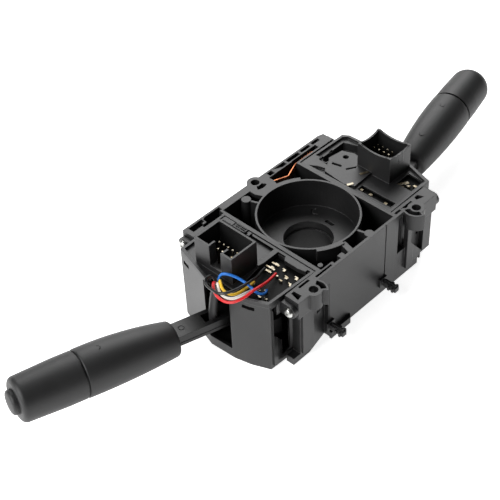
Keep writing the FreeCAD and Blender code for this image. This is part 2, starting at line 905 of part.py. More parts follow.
def make_trim_clips():
    """Two push-in clips under the front rail that hold the column trim."""
    pieces = []
    for name, x in (("left", "-29"), ("right", "20")):
        face = "-housing_front"
        collar = block(
            name + "_clip_collar", (x + " - 3.2", face + " - 1.6", "6.8"), (x + " + 3.2", face, "13.2")
        )
        stem = block(
            name + "_clip_stem", (x + " - 1.6", face + " - clip_reach", "8.4"), (x + " + 1.6", face, "11.6")
        )
        barbs = [
            block(
                "%s_clip_barb_%d" % (name, step),
                (x + " - 3", "%s - clip_reach + %s" % (face, 1.2 + 3 * step), "8.6"),
                (x + " + 3", "%s - clip_reach + %s" % (face, 2.6 + 3 * step), "11.4"),
            )
            for step in range(2)
        ]
        fin = block(
            name + "_clip_fin",
            (x + " - 0.7", face + " - clip_reach + 1", "6.9"),
            (x + " + 0.7", face + " - 2.6", "13.1"),
        )
        pieces.append(fuse(name.capitalize() + "Clip", collar, stem, fin, *barbs))
    node(together("TrimClips", *pieces), "trim_clips")


# The switch cases and what they hold


LARGEST_LIFT = {"left": 0.5, "right": 6}


def make_case(side):
    """A switch case: a tray with a lever slot in its end, a bearing and two screw ears."""
    body = new_body(side.capitalize() + "Case")
    far = "case_corner + %s_bulge + 3" % side
    inner_low, inner_high = span(side, "case_corner - 6", far)
    wander = "(case_reach + %s_bulge) * tan(%s_swing + %s)" % (side, side, LARGEST_LIFT[side])
    slot_low = "-pivot_front - arm_half - 0.6"
    slot_high = "-pivot_front + 1.04 * arm_half + %s + loose_gap" % wander
    pad(body, "shell", "XY", "0", "case_height", case_outline(side))
    pocket(body, "cavity", "XY", "case_height", "case_height - wall", case_outline(side, "wall"))
    posts = []
    for near, away in (
        ("bay_%s + loose_gap + wall" % side, "bay_%s + loose_gap + wall + post_side" % side),
        ("case_corner - wall - post_side", "case_corner - wall"),
    ):
        low, high = span(side, near, away)
        posts.append(rectangle(low, high, "-case_half + 0.5", "-case_half + wall + post_side"))
        posts.append(rectangle(low, high, "case_half - wall - post_side", "case_half - 0.5"))
    pad(body, "posts", "XY", "wall", "board_lift - wall", *posts)
    pocket(
        body,
        "lever_slot",
        "XY",
        "case_height",
        "case_height - slot_floor",
        rectangle(inner_low, inner_high, slot_low, slot_high),
    )
    pivot = across(side, "pivot_reach")
    boss = (pivot, "-pivot_front", "trunnion_radius + 3")
    hole = (pivot, "-pivot_front", "trunnion_radius + running_gap")
    pad(body, "bearing", "XY", "wall", "bearing_height", boss)
    pocket(body, "bearing_hole", "XY", "wall + bearing_height", "bearing_height + 1", hole)
    ear_end = "-(housing_left + ear_thickness)" if side == "left" else "housing_right"
    for name, sign in (("front", "-"), ("back", "")):
        centre = sign + "ear_reach"
        root = sign + "(case_half - wall - 0.4)"
        free = sign + "(case_half + loose_gap)"
        foot, head = "ear_height - ear_radius", "ear_height + ear_radius"
        pad(
            body,
            name + "_ear",
            "YZ",
            ear_end,
            "ear_thickness",
            [
                (root, foot),
                (centre, foot),
                (centre, head),
                (free, head),
                (free, "case_height"),
                (root, "case_height"),
            ],
        )
        pad(body, name + "_ear_end", "YZ", ear_end, "ear_thickness", (centre, "ear_height", "ear_radius"))
        pocket(
            body,
            name + "_ear_hole",
            "YZ",
            ear_end + " + ear_thickness",
            "ear_thickness",
            (centre, "ear_height", "case_screw_radius + 0.2"),
        )
    end = across(side, far)
    pocket(
        body,
        "end_windows",
        "YZ",
        end,
        "%s_bulge + 9" % side,
        rectangle("-case_half + 9.5", "-case_half + 17", "case_height - 4.9", "case_height - 2.1"),
        rectangle("case_half - 9", "case_half - 3", "case_height - 6.9", "case_height - 4.1"),
        reverse=side == "left",
    )
    if side == "left":
        pocket(
            body,
            "pawl_window",
            "YZ",
            "-bay_left",
            "wall + 1",
            rectangle("-11.5", "5.5", "7.4", "13"),
        )
    return node(body, side + "_switch_case")


def pin_places(side):
    """The plan positions of a connector's pins."""
    columns, rows = PINS[side]
    return [(across(side, "(pivot_reach + %s)" % x), str(y)) for x in columns for y in rows]


def wire_passage():
    """The plan of the opening that the wire sleeve passes and swings in."""
    return rectangle("-pivot_reach - 34", "-pivot_reach - 22.6", "-9.6", "5.4")


def make_lid(side):
    """A lid: a plate with a raised rim, a window over the contacts and a connector shroud."""
    body = new_body(side.capitalize() + "Lid")
    plate_top = "case_height + lid_plate"
    pad(body, "plate", "XY", "case_height", "lid_height", case_outline(side))
    pocket(
        body,
        "tray",
        "XY",
        "case_height + lid_height",
        "lid_height - lid_plate",
        case_outline(side, "lid_rim"),
    )
    if side == "left":
        rises = [
            [
                ("-bay_left - 0.8", "case_half - 1"),
                ("-38", "case_half - 1"),
                ("-38", "17.4"),
                ("-36.2", "15.6"),
                ("-bay_left - 0.8", "17"),
            ],
            [
                ("-bay_left - 0.8", "-9.2"),
                ("-48.8", "-9.2"),
                ("-52.4", "-8.6"),
                ("-52.4", "-5.8"),
                ("-bay_left - 0.8", "-5.8"),
            ],
            [
                ("-bay_left - 0.8", "-15.2"),
                ("-37.1", "-15.2"),
                ("-39.3", "-16.8"),
                ("-39.3", "-27"),
                ("-38.2", "-32"),
                ("-bay_left - 0.8", "-32"),
            ],
        ]
        window = [
            ("-36.6", "-case_half + lid_rim"),
            ("-pivot_reach - 18.4", "-case_half + lid_rim + 1.2"),
            ("-pivot_reach - 24.2", "-case_half + 18.5"),
            ("-pivot_reach - 24.6", "-12.5"),
            ("-54.2", "-8.6"),
            ("-36.6", "-8.6"),
        ]
        shroud = ("-pivot_reach - 20", "-pivot_reach + 0.5", "-7", "22.5")
    else:
        rises = [
            [
                ("bay_right + 0.8", "33.4"),
                ("38.1", "25.4"),
                ("39.5", "20.8"),
                ("46.7", "26.3"),
                ("46.1", "30"),
                ("44.8", "case_half - 1"),
                ("bay_right + 0.8", "case_half - 1"),
            ],
            [
                ("37", "19.1"),
                ("44", "24.7"),
                ("46.7", "26.3"),
                ("59.6", "24.5"),
                ("62.6", "16.3"),
                ("61.9", "13.2"),
                ("56", "8.6"),
                ("56", "-3.4"),
                ("38.1", "-4.3"),
                ("35.2", "2.4"),
            ],
        ]
        window = rectangle("38.4", "43.4", "-case_half + 4", "-6")
        shroud = ("pivot_reach + 3", "pivot_reach + 23.1", "-17.5", "8")
    pocket(body, "contact_window", "XY", plate_top, "lid_plate", window)
    for index, outline in enumerate(rises, start=1):
        pad(body, "rise_%d" % index, "XY", "case_height", "lid_height", outline)
    pad(
        body,
        "shroud",
        "XY",
        "case_height",
        "shroud_top - case_height",
        rectangle(*shroud),
    )
    x_low, x_high, y_low, y_high = shroud
    pocket(
        body,
        "socket",
        "XY",
        "shroud_top",
        "shroud_top - (%s)" % plate_top,
        rectangle(
            x_low + " + shroud_wall",
            x_high + " - shroud_wall",
            y_low + " + shroud_wall",
            y_high + " - shroud_wall",
        ),
    )
    low, high = " - pin_side / 2 - running_gap", " + pin_side / 2 + running_gap"
    holes = [
        rectangle(x + low, x + high, y + low, y + high)
        for x, y in pin_places(side)
    ]
    pocket(body, "pin_holes", "XY", plate_top, "lid_plate", *holes)
    if side == "left":
        pocket(
            body,
            "wire_notch",
            "XY",
            "case_height + lid_height",
            "lid_height",
            wire_passage(),
        )
        pad(
            body,
            "key_walls",
            "XY",
            plate_top + " + 4",
            "shroud_top - 4 - (%s)" % plate_top,
            rectangle("-pivot_reach - 19.4", "-pivot_reach - 14.6", "0.2", "1.5"),
            rectangle("-pivot_reach - 19.4", "-pivot_reach - 14.6", "10.6", "11.9"),
        )
        pocket(
            body,
            "key_slot",
            "XY",
            "shroud_top",
            "shroud_top - 4 - (%s)" % plate_top,
            rectangle("-pivot_reach - 21", "-pivot_reach - 18", "1.5", "10.6"),
        )
    else:
        pocket(
            body,
            "key_slot",
            "XY",
            "shroud_top",
            "8",
            rectangle("pivot_reach + 11", "pivot_reach + 15", "-18.5", "-16"),
        )
        pocket(
            body,
            "guide_cuts",
            "XY",
            "case_height + lid_height",
            "lid_height",
            [("46.4", "24"), ("50", "27.4"), ("48.6", "31.6"), ("43.4", "29.6"), ("42.6", "22.4")],
            [("54.4", "26"), ("58.6", "27.8"), ("57.4", "31.6"), ("53", "30.4")],
            [("46.6", "14"), ("48.4", "15"), ("47", "21.4"), ("45", "20.6")],
            [("52", "6.4"), ("53.6", "7.2"), ("47.4", "11"), ("46.4", "9.8")],
            ("56.2", "18.4", "1.9"),
            rectangle(
                "pivot_reach + 6.4",
                "pivot_reach + 18.6",
                "-case_half + 4",
                "-20.5",
            ),
        )
    return node(body, side + "_switch_lid")


def make_board(side):
    """The contact board on the case's posts, with a bearing hole for the yoke."""
    body = new_body(side.capitalize() + "Board")
    pad(body, "plate", "XY", "board_lift", "board", case_outline(side, "wall + loose_gap"))
    pocket(
        body,
        "post_hole",
        "XY",
        "board_lift + board",
        "board",
        (across(side, "pivot_reach"), "-pivot_front", "top_pin_radius + running_gap"),
    )
    if side == "left":
        pocket(body, "wire_passage", "XY", "board_lift + board", "board", wire_passage())
    node(body, side + "_contact_board")


def make_connector_pins(side):
    """Rows of square connector pins that stand on the board and pass through the lid."""
    pins = []
    for index, (x, y) in enumerate(pin_places(side)):
        low = (x + " - pin_side / 2", y + " - pin_side / 2", "board_lift + board")
        high = (x + " + pin_side / 2", y + " + pin_side / 2", "pin_top")
        pins.append(block("%s_pin_%d" % (side, index), low, high))
    node(together(side.capitalize() + "Pins", *pins), side + "_connector_pins")


def make_tabs(side, places, long_x, long_y):
    """Solder tabs on the contact board, placed from the pivot outward and from the case's front side."""
    tabs = []
    for out, inward in places:
        name = "%s_tab_%d" % (side, len(tabs))
        x = across(side, "(pivot_reach + %s)" % out)
        y = "-case_half + %s" % inward
        low = ("%s - %s" % (x, long_x / 2), "%s - %s" % (y, long_y / 2), "board_lift + board")
        high = ("%s + %s" % (x, long_x / 2), "%s + %s" % (y, long_y / 2), "board_lift + board + tab_rise")
        tabs.append(block(name, low, high))
    node(together(side.capitalize() + "Tabs", *tabs), side + "_solder_tabs")


def make_case_screws(side):
    """Two pan-head screws that hold a case's ears to the housing."""
    screws = []
    for name, sign in (("front", "-"), ("back", "")):
        y = sign + "ear_reach"
        if side == "left":
            seat = "-(housing_left + ear_thickness)"
            head = rod(name + "_left_head", (seat + " - 2.2", y, "ear_height"), "case_screw_head", "2.2", "x")
            shank = rod(
                name + "_left_shank", (seat + " - 1", y, "ear_height"), "case_screw_radius", "case_screw_length + 1", "x"
            )
        else:
            seat = "housing_right + ear_thickness"
            head = rod(name + "_right_head", (seat, y, "ear_height"), "case_screw_head", "2.2", "x")
            shank = rod(
                name + "_right_shank",
                (seat + " - case_screw_length", y, "ear_height"),
                "case_screw_radius",
                "case_screw_length + 1",
                "x",
            )
        screws.append(fuse("%s_%s_screw" % (name, side), head, shank))
    node(together(side.capitalize() + "CaseScrews", *screws), side + "_case_screws")


# The yokes, levers and what rides on them


def coil(name, radius, low, high):
    """A compression spring along Z as long as low to high, with its lowest coil at the origin."""
    wire = size("spring_wire")
    mean = size(radius) - wire / 2
    length = size(high) - size(low) - wire
    turns = max(round(length / (3.2 * wire)), 2)
    helix = Part.makeHelix(length / turns, length, mean)
    half = wire / 2
    corners = [Vector(mean + a * half, 0, b * half) for a, b in ((1, 0), (0, 1), (-1, 0), (0, -1), (1, 0))]
    shape = Part.Wire(helix.Edges).makePipeShell([Part.makePolygon(corners)], True, True)
    spring = doc.addObject("Part::Feature", name)
    spring.Shape = shape
    return spring


def place_like(item, side, x, y, z="0"):
    """Sets an upright piece at a point measured from a yoke's pivot."""
    swing = size(side + "_swing")
    yaw = 180 - swing if side == "left" else swing
    turn = Rotation(Vector(0, 0, 1), yaw)
    centre = turn.multVec(Vector(size(x), size(y), size(z)))
    foot = Vector(size(across(side, "pivot_reach")), -size("pivot_front"), size("pivot_height"))
    item.Placement = Placement(foot + centre, turn)


def make_yoke(side):
    """The yoke turns upright in its case; its slot holds the lever, its side arm the detent."""
    cap = side.capitalize()
    name = side + "_yoke"
    half = "yoke_half"
    body = block(name + "_block", ("-yoke_back", "-" + half, "-yoke_drop"), ("yoke_front", half, "yoke_head"))
    arm = block(name + "_arm", ("-4.5", "yoke_half - 1", "-yoke_drop"), ("4.5", "detent_reach + 4.5", "1.5"))
    foot = "wall - 1 + loose_gap - pivot_height"
    trunnion = rod(name + "_trunnion", ("0", "0", foot), "trunnion_radius", "1 - yoke_drop - (%s)" % foot)
    post = rod(name + "_post", ("0", "0", "yoke_head - 1"), "post_radius", "post_top - pivot_height - yoke_head + 1")
    top_pin = rod(
        name + "_top_pin",
        ("0", "0", "post_top - pivot_height - 1"),
        "top_pin_radius",
        "board_lift + board - post_top + 0.8",
    )
    solids = [body, arm, trunnion, post, top_pin]
    if side == "left":
        solids.append(
            rod(name + "_pawl_stub", ("-7.5", "0", "-yoke_drop - 4.6"), "lever_pin_radius", "5")
        )
    slot = block(
        name + "_slot",
        ("-arm_tail - 0.9", "-arm_half - loose_gap", "-yoke_slot_bottom"),
        ("yoke_front + 1", "arm_half + loose_gap", "yoke_slot_top"),
    )
    cross = rod(name + "_cross", ("0", "-yoke_half - 1", "0"), "lever_pin_radius + 0.02", "2 * yoke_half + 2", "y")
    bore = rod(
        name + "_bore",
        ("0", "detent_reach", "-yoke_drop - 1"),
        "plunger_radius + running_gap",
        "yoke_drop + 1",
    )
    spring_seat = rod(
        name + "_spring_seat", ("-return_spring_reach", "0", "yoke_slot_top - 1"), "return_spring_radius + 0.25", "3"
    )
    yoke = cut(cap + "Yoke", fuse(name + "_solid", *solids), slot, cross, bore, spring_seat)
    node(stand(yoke, side, tilted=False), side + "_yoke")
    pin = rod(name + "_pin", ("0", "-yoke_half", "0"), "lever_pin_radius", "2 * yoke_half", "y")
    holder = together(cap + "LeverPin", pin)
    node(stand(holder, side, tilted=False), side + "_lever_pin")


def make_detent(side):
    """The sprung plunger under a yoke's side arm and the notched plate that it rides on."""
    cap = side.capitalize()
    tip = "wall + track + loose_gap - pivot_height"
    stem = rod(side + "_plunger_stem", ("0", "0", tip + " + 1.2"), "plunger_radius", "plunger_length - 1.2")
    nose = doc.addObject("Part::Cone", side + "_plunger_nose")
    bind(nose, Radius1="0.9", Radius2="plunger_radius", Height="1.2", Placement__Base__z=tip)
    plunger = fuse(cap + "Plunger", stem, nose)
    place_like(plunger, side, "0", "detent_reach")
    node(plunger, side + "_detent_plunger")
    rest = tip + " + plunger_length"
    spring = coil(cap + "DetentSpring", "detent_spring_radius", rest, "-loose_gap")
    place_like(spring, side, "0", "detent_reach", rest + " + spring_wire / 2")
    node(spring, side + "_detent_spring")
    swing = "left_swing" if side == "left" else "right_swing"
    outer = rod(side + "_track_outer", ("0", "0", "0"), "detent_reach + plunger_radius + 1", "track")
    outer.Angle = 76
    inner = rod(side + "_track_inner", ("0", "0", "-1"), "detent_reach - plunger_radius - 1", "track + 2")
    dips = []
    for index, angle in enumerate(DETENTS[side]):
        turn = angle + 38
        dip = rod(
            "%s_dip_%d" % (side, index),
            ("detent_reach * cos(%s)" % turn, "detent_reach * sin(%s)" % turn, "track - 0.6"),
            "1.3",
            "2",
        )
        dips.append(dip)
    track = cut(cap + "Track", outer, inner, *dips)
    yaw = (180 - size(swing) if side == "left" else size(swing)) + 90 - 38
    track.Placement = Placement(
        Vector(size(across(side, "pivot_reach")), -size("pivot_front"), size("wall")),
        Rotation(Vector(0, 0, 1), yaw),
    )
    node(track, side + "_detent_plate")


def make_wiper(side):
    """The sprung brass contact that a yoke carries round under its board."""
    cap = side.capitalize()
    low = "post_top - pivot_height"
    plate = block(side + "_wiper_plate", ("-13", "-3", low), ("9", "3", low + " + wiper"))
    rise = "board_lift - post_top - loose_gap"
    inner = block(side + "_wiper_inner", ("-13", "-3", low), ("-12.4", "3", "%s + %s" % (low, rise)))
    outer = block(side + "_wiper_outer", ("8.4", "-3", low), ("9", "3", "%s + %s" % (low, rise)))
    hole = rod(side + "_wiper_hole", ("0", "0", low + " - 1"), "top_pin_radius + running_gap", "4")
    wiper = cut(cap + "Wiper", fuse(side + "_wiper_solid", plate, inner, outer), hole)
    node(stand(wiper, side, tilted=False), side + "_contact_wiper")


def make_arm(side):
    """The lever arm: a square bar that ends in a round spigot for the knob."""
    body = new_body(side.capitalize() + "Arm")
    pad(
        body,
        "bar",
        "YZ",
        "-arm_tail",
        "arm_end + arm_tail",
        rectangle("-arm_half", "arm_half", "-arm_bottom", "arm_top"),
    )
    pad(body, "spigot", "YZ", "arm_end", "spigot_end - arm_end", ("0", "0", "spigot_radius"))
    hole = pocket(
        body,
        "pivot_hole",
        "XZ",
        "0",
        "2 * arm_half + 2",
        ("0", "0", "lever_pin_radius + running_gap"),
    )
    hole.SideType = "Symmetric"
    pocket(
        body,
        "spring_hole",
        "XY",
        "arm_top",
        "arm_top + spring_well",
        ("-return_spring_reach", "0", "return_spring_radius + 0.35"),
    )
    groove_end = "grip_start + 1"
    pocket(
        body,
        "side_grooves",
        "YZ",
        groove_end,
        groove_end + " - 19",
        rectangle("arm_half - 0.35", "arm_half + 1", "-2.6", "-2"),
        rectangle("-arm_half - 1", "-arm_half + 0.35", "-2.6", "-2"),
    )
    pocket(body, "ejector_mark", "XY", "arm_top", "0.25", ("50.5", "0", "1.9"), ("50.5", "0", "1.5"))
    if side == "left":
        pocket(
            body,
            "wire_notch",
            "XY",
            "arm_top",
            "notch_depth",
            rectangle("notch_start", "notch_end", "-notch_half", "notch_half"),
        )
    node(stand(body, side, tilted=True), side + "_lever_arm")
    rest = "-spring_well + loose_gap"
    spring = coil(side.capitalize() + "ReturnSpring", "return_spring_radius", rest, "yoke_slot_top + 2 - loose_gap")
    place_like(spring, side, "-return_spring_reach", "0", rest + " + spring_wire / 2")
    node(spring, side + "_return_spring")


def make_grip(side):
    """The grip sleeve: a loft through three round sections, slightly drooped at its inner end."""
    body = new_body(side.capitalize() + "Grip")
    reach = "(grip_end - grip_middle) / (grip_end - grip_start)"
    sections = (
        ("start", "grip_start", "grip_start_radius", "-grip_droop"),
        ("middle", "grip_middle", "grip_middle_radius", "-grip_droop * (%s)^2" % reach),
        ("end", "grip_end", "grip_radius", "0"),
    )
    profiles = [draw(body, name + "_section", "YZ", at, [("0", drop, radius)]) for name, at, radius, drop in sections]
    loft = body.newObject("PartDesign::AdditiveLoft", "loft")
    loft.Profile = profiles[0]
    loft.Sections = profiles[1:]
    pocket(
        body,
        "arm_socket",
        "YZ",
        "arm_end",
        "arm_end - grip_start + 2",
        rectangle("-arm_half", "arm_half", "-arm_bottom", "arm_top"),
    )
    pocket(
        body,
        "spigot_socket",
        "YZ",
        "grip_end + 1",
        "grip_end + 1 - arm_end",
        ("0", "0", "spigot_radius + running_gap"),
    )
    node(stand(body, side, tilted=True), side + "_grip_sleeve")


def end_edges(feature, x, radius):
    """Names of the feature's round edges at x with the given radius."""
    names = []
    for index, edge in enumerate(feature.Shape.Edges, start=1):
        curve = edge.Curve
        if isinstance(curve, Part.Circle) and abs(curve.Center.x - size(x)) < 0.01:
            if abs(curve.Radius - size(radius)) < 0.01:
                names.append("Edge%d" % index)
    return names


def make_knob(side):
    """The turning knob on the arm's spigot; the left one holds the horn button."""
    body = new_body(side.capitalize() + "Knob")
    start = "grip_end + knob_gap"
    bore = "spigot_radius + running_gap"
    web = "spigot_end + 0.3"
    profile = [
        (start, bore),
        (start, "grip_radius - 0.2"),
        ("grip_end + 12", "grip_radius - 0.2"),
        ("knob_end", "knob_end_radius"),
    ]
    if side == "left":
        seat = "knob_end - 3"
        profile += [
            ("knob_end", "button_radius + running_gap"),
            (seat, "button_radius + running_gap"),
            (seat, "button_radius + button_flange + 0.3"),
            (web + " + 2", "button_radius + button_flange + 0.3"),
            (web + " + 2", "0"),
        ]
    else:
        profile += [("knob_end", "0")]
    profile += [(web, "0"), (web, bore)]
    turned = revolve(body, "PartDesign::Revolution", "turned", "X", profile)
    doc.recompute()
    outer = end_edges(turned, "knob_end", "knob_end_radius")
    round_edges(body, "end_round", turned, outer, side + "_knob_round")
    node(stand(body, side, tilted=True), side + "_knob")


def make_horn_button():
    """The button in the left knob's end and the contact disc behind it."""
    body = new_body("HornButton")
    inner = "knob_end - 3 - running_gap - 2"
    profile = [
        (inner, "0"),
        (inner, "button_radius + button_flange"),
        ("knob_end - 3 - running_gap", "button_radius + button_flange"),
        ("knob_end - 3 - running_gap", "button_radius"),
        ("knob_end + button_stand", "button_radius"),
        ("knob_end + button_stand", "0"),
    ]
    turned = revolve(body, "PartDesign::Revolution", "turned", "X", profile)
    doc.recompute()
    outer = end_edges(turned, "knob_end + button_stand", "button_radius")
    round_edges(body, "end_round", turned, outer, "button_flange")
    node(stand(body, "left", tilted=True), "horn_button")
    dome = new_body("HornContact")
    seat = "spigot_end + 2.3"
    crown = "knob_end - 5 - button_travel - loose_gap"
    profile = [
        (seat, "button_radius"),
        (seat + " + 0.4", "button_radius"),
        (crown, "2.4"),
        (crown, "0"),
        (crown + " - 0.4", "0"),
        (crown + " - 0.4", "2.2"),
        (seat, "button_radius - 0.6"),
    ]
    revolve(dome, "PartDesign::Revolution", "turned", "X", profile)
    node(stand(dome, "left", tilted=True), "horn_contact")


def make_pawl():
    """The cancelling pawl under the left yoke reaches through two windows to the ring."""
    low, high = "-yoke_drop - 3.9", "-yoke_drop - loose_gap"
    boss = rod("pawl_boss", ("-7.5", "0", low), "3.2", "(%s) - (%s)" % (high, low))
    swing = size("left_swing")
    arm = doc.addObject("Part::Box", "pawl_arm")
    bind(arm, Length="17.6", Width="3.2", Height="(%s) - (%s)" % (high, low))
    arm.Placement = Placement(
        Vector(-7.5, 0, size(low)) + Rotation(Vector(0, 0, 1), swing + 180).multVec(Vector(0, -1.6, 0)),
        Rotation(Vector(0, 0, 1), swing + 180),
    )
    hole = rod("pawl_hole", ("-7.5", "0", low + " - 1"), "lever_pin_radius + running_gap", "8")
    pawl = cut("CancelPawl", fuse("pawl_solid", boss, arm), hole)
    node(stand(pawl, "left", tilted=False), "cancel_pawl")


# The wires from the left lever to its board


def tube(name, points, radius):
    """A round tube along straight runs joined by tangent arcs."""
    spots = [Vector(*point) for point in points]
    edges = []
    here = spots[0]
    tightest = None
    for before, corner, after in zip(spots, spots[1:], spots[2:]):
        back, on = before - corner, after - corner
        turn = math.pi - back.getAngle(on)
        reach = 0.45 * min(back.Length, on.Length)
        bend = reach / math.tan(turn / 2)
        tightest = bend if tightest is None else min(tightest, bend)
        start = corner + back.normalize() * reach
        end = corner + on.normalize() * reach
        inward = ((start + end) * 0.5 - corner).normalize()
        to_centre = math.hypot(reach, bend)
        middle = corner + inward * (to_centre - bend)
        edges.append(Part.LineSegment(here, start).toShape())
        edges.append(Part.Arc(start, middle, end).toShape())
        here = end
    edges.append(Part.LineSegment(here, spots[-1]).toShape())
    path = Part.Wire(edges)
    first = spots[1] - spots[0]
    ring = Part.Wire(Part.makeCircle(radius, spots[0], first))
    shape = path.makePipeShell([ring], True, False)
    expected = math.pi * radius**2 * path.Length
    print(name, "length", round(path.Length, 1), "tightest bend", round(tightest, 2), end=" ")
    print("volume ratio", round(shape.Volume / expected, 4))
    item = doc.addObject("Part::Feature", name)
    item.Shape = shape
    return item


# The sleeve's points: outward from the left pivot, backward from the column axis, height
SLEEVE = (
    (28.8, 2.5, "pivot_height - 1.2"),
    (28.5, 2.2, "pivot_height + 8.9"),
    (27.4, 1.3, "case_height - 7.5"),
    (25.7, -0.3, "case_height + 1.9"),
)
WIRE_STARTS = {"blue": 10, "yellow": 298, "white": 226, "red": 154, "black": 82}
WIRES = {
    "blue": (
        (-76.0, -0.9, 57.2), (-75.9, -2.6, 60.0), (-75.2, -5.2, 61.6), (-73.4, -8.3, 61.0),
        (-71.7, -11.6, 59.6), (-70.6, -15.2, 58.2), (-70.0, -19.7, 56.6), (-70.1, -23.2, 55.0),
        (-68.4, -25.9, 53.9), (-65.4, -26.4, 52.6), (-62.6, -24.4, 51.75),
    ),
    "yellow": (
        (-77.2, -2.4, 56.6), (-79.4, -5.0, 58.0), (-81.7, -8.3, 56.9), (-82.2, -12.2, 56.0),
        (-80.6, -15.7, 55.7), (-77.4, -17.0, 55.7), (-73.0, -17.0, 55.0), (-68.2, -16.2, 53.4),
        (-62.6, -14.6, 51.75),
    ),
    "white": (
        (-79.3, -2.6, 55.4), (-81.2, -5.0, 55.9), (-83.4, -8.0, 55.0), (-84.2, -11.8, 54.6),
        (-83.2, -15.8, 54.7), (-80.4, -18.5, 55.2), (-76.0, -19.4, 55.3), (-71.0, -19.6, 54.0),
        (-64.6, -20.3, 51.75),
    ),
    "red": (
        (-80.2, -0.1, 55.2), (-82.8, -2.4, 55.6), (-85.2, -5.8, 54.4), (-86.2, -9.8, 53.8),
        (-86.2, -14.4, 53.8), (-84.9, -18.6, 54.8), (-82.0, -21.6, 56.2), (-78.0, -23.2, 57.4),
        (-73.2, -23.9, 58.6), (-67.8, -23.9, 58.0), (-61.6, -22.9, 55.6), (-55.6, -21.2, 53.4),
        (-49.3, -19.3, 51.75),
    ),
    "black": (
        (-77.8, 2.2, 56.4), (-79.6, 3.2, 58.0), (-82.4, 3.6, 57.4), (-84.6, 2.0, 56.2),
        (-85.8, -1.6, 56.4), (-86.6, -6.2, 57.6), (-87.5, -10.6, 58.6), (-85.5, -14.8, 60.0),
        (-81.4, -17.5, 60.8), (-75.7, -18.6, 60.8), (-68.8, -18.4, 59.6), (-61.6, -16.4, 56.4),
        (-55.0, -12.9, 53.2), (-50.2, -11.4, 51.75),
    ),
}


def make_wires():
    """The sleeve that rises from the left arm's notch and the five wires that leave it."""
    spots = [Vector(-size("pivot_reach") - out, y, size(height)) for out, y, height in SLEEVE]
    sleeve = tube("WireSleeve", spots, size("sleeve_radius"))
    node(sleeve, "wire_sleeve")
    mouth = spots[-1]
    ring = size("sleeve_radius - wire_radius") - 0.07
    for colour, points in WIRES.items():
        turn = Rotation(Vector(0, 0, 1), WIRE_STARTS[colour])
        start = mouth + turn.multVec(Vector(ring, 0, 0)) + Vector(0, 0, size("wire_lift"))
        wire = tube("Wire" + colour.capitalize(), (tuple(start),) + points, size("wire_radius"))
        node(wire, "wire_" + colour)


DETENTS = {"left": (0, 6.5, 13), "right": (-10, 0, 6)}
PINS = {
    "left": ((12.0, 7.4), (1.0, 4.6, 8.2, 11.8, 15.4)),
    "right": ((14.7, 18.2), (-7.2, -3.4, 0.4, 4.2)),
}
LEFT_TABS = (
    (-1.8, 25.0), (-3.1, 22.0), (-6.4, 22.8), (-10.0, 22.6), (-9.4, 16.4), (-5.8, 11.6),
    (-9.1, 6.8), (-2.8, 6.2), (-2.8, 16.4), (-1.4, 12.0), (10.5, 21.6), (16.0, 12.0), (14.8, 8.4),
    (10.4, 12.4), (12.4, 15.8),
)
RIGHT_TABS = (
    (-11.1, 28.6), (-11.1, 21.4), (-11.6, 9.4), (7.6, 12.0), (10.4, 9.4), (12.8, 6.0),
)


def main():
    """Builds every sub-part, checks it and writes its file."""
    make_housing()
    make_ring()
    make_earth_strip()
    make_trim_clips()
    for side in ("left", "right"):
        make_case(side)
        make_lid(side)
        make_board(side)
        make_case_screws(side)
        make_yoke(side)
        make_detent(side)
        make_wiper(side)
        make_arm(side)
        make_grip(side)
        make_knob(side)
    make_connector_pins("left")
    make_connector_pins("right")
    make_tabs("left", LEFT_TABS, 0.8, 2.2)
    make_tabs("right", RIGHT_TABS, 1.6, 2.2)
    make_horn_button()
    make_pawl()
    make_wires()
    doc.recompute()
    for item in doc.Objects:
        if "Invalid" in item.State or "Error" in item.State:
            raise SystemExit("%s failed: %s" % (item.Name, item.State))
    for item in nodes:
        if item.Shape.isNull() or not item.Shape.isValid() or not item.Shape.Solids:
            raise SystemExit("%s has no valid solid" % item.Label)
    os.makedirs("parts", exist_ok=True)
    for item in nodes:
        item.Shape.exportStep(os.path.join("parts", item.Label + ".step"))
        print(item.Label, len(item.Shape.Solids), round(item.Shape.Volume, 1))


main()
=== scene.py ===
"""Looks of a car's combination stalk switch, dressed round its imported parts.

The switch stands on its driver's side with the open cup upwards. Each sub-assembly is a class that
holds its sizes in millimetres and builds its pieces in the part's own frame.
"""

import logging
import math
from dataclasses import dataclass, field
from enum import Enum
from functools import cache
from typing import Iterable, Sequence

import bmesh
import bpy
from bmesh.types import BMesh, BMVert
from bpy.types import Material, Mesh, Node, NodeSocket, NodeTree, Object
from mathutils import Matrix, Vector


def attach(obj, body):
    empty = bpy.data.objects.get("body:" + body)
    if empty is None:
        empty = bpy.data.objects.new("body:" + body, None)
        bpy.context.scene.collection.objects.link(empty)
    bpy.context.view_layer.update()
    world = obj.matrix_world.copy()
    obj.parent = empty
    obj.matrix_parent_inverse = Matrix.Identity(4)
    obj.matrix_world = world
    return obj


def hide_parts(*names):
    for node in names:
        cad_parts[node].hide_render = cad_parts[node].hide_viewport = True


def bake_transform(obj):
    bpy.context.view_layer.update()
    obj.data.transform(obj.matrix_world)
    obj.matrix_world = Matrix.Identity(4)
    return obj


MM = 0.001
WELD = 1e-7
CRISP = 30.0
Flat = tuple[float, float]
Point = tuple[float, float, float]
Box = tuple[float, float, float, float, float, float]
Stop = tuple[float, Point]

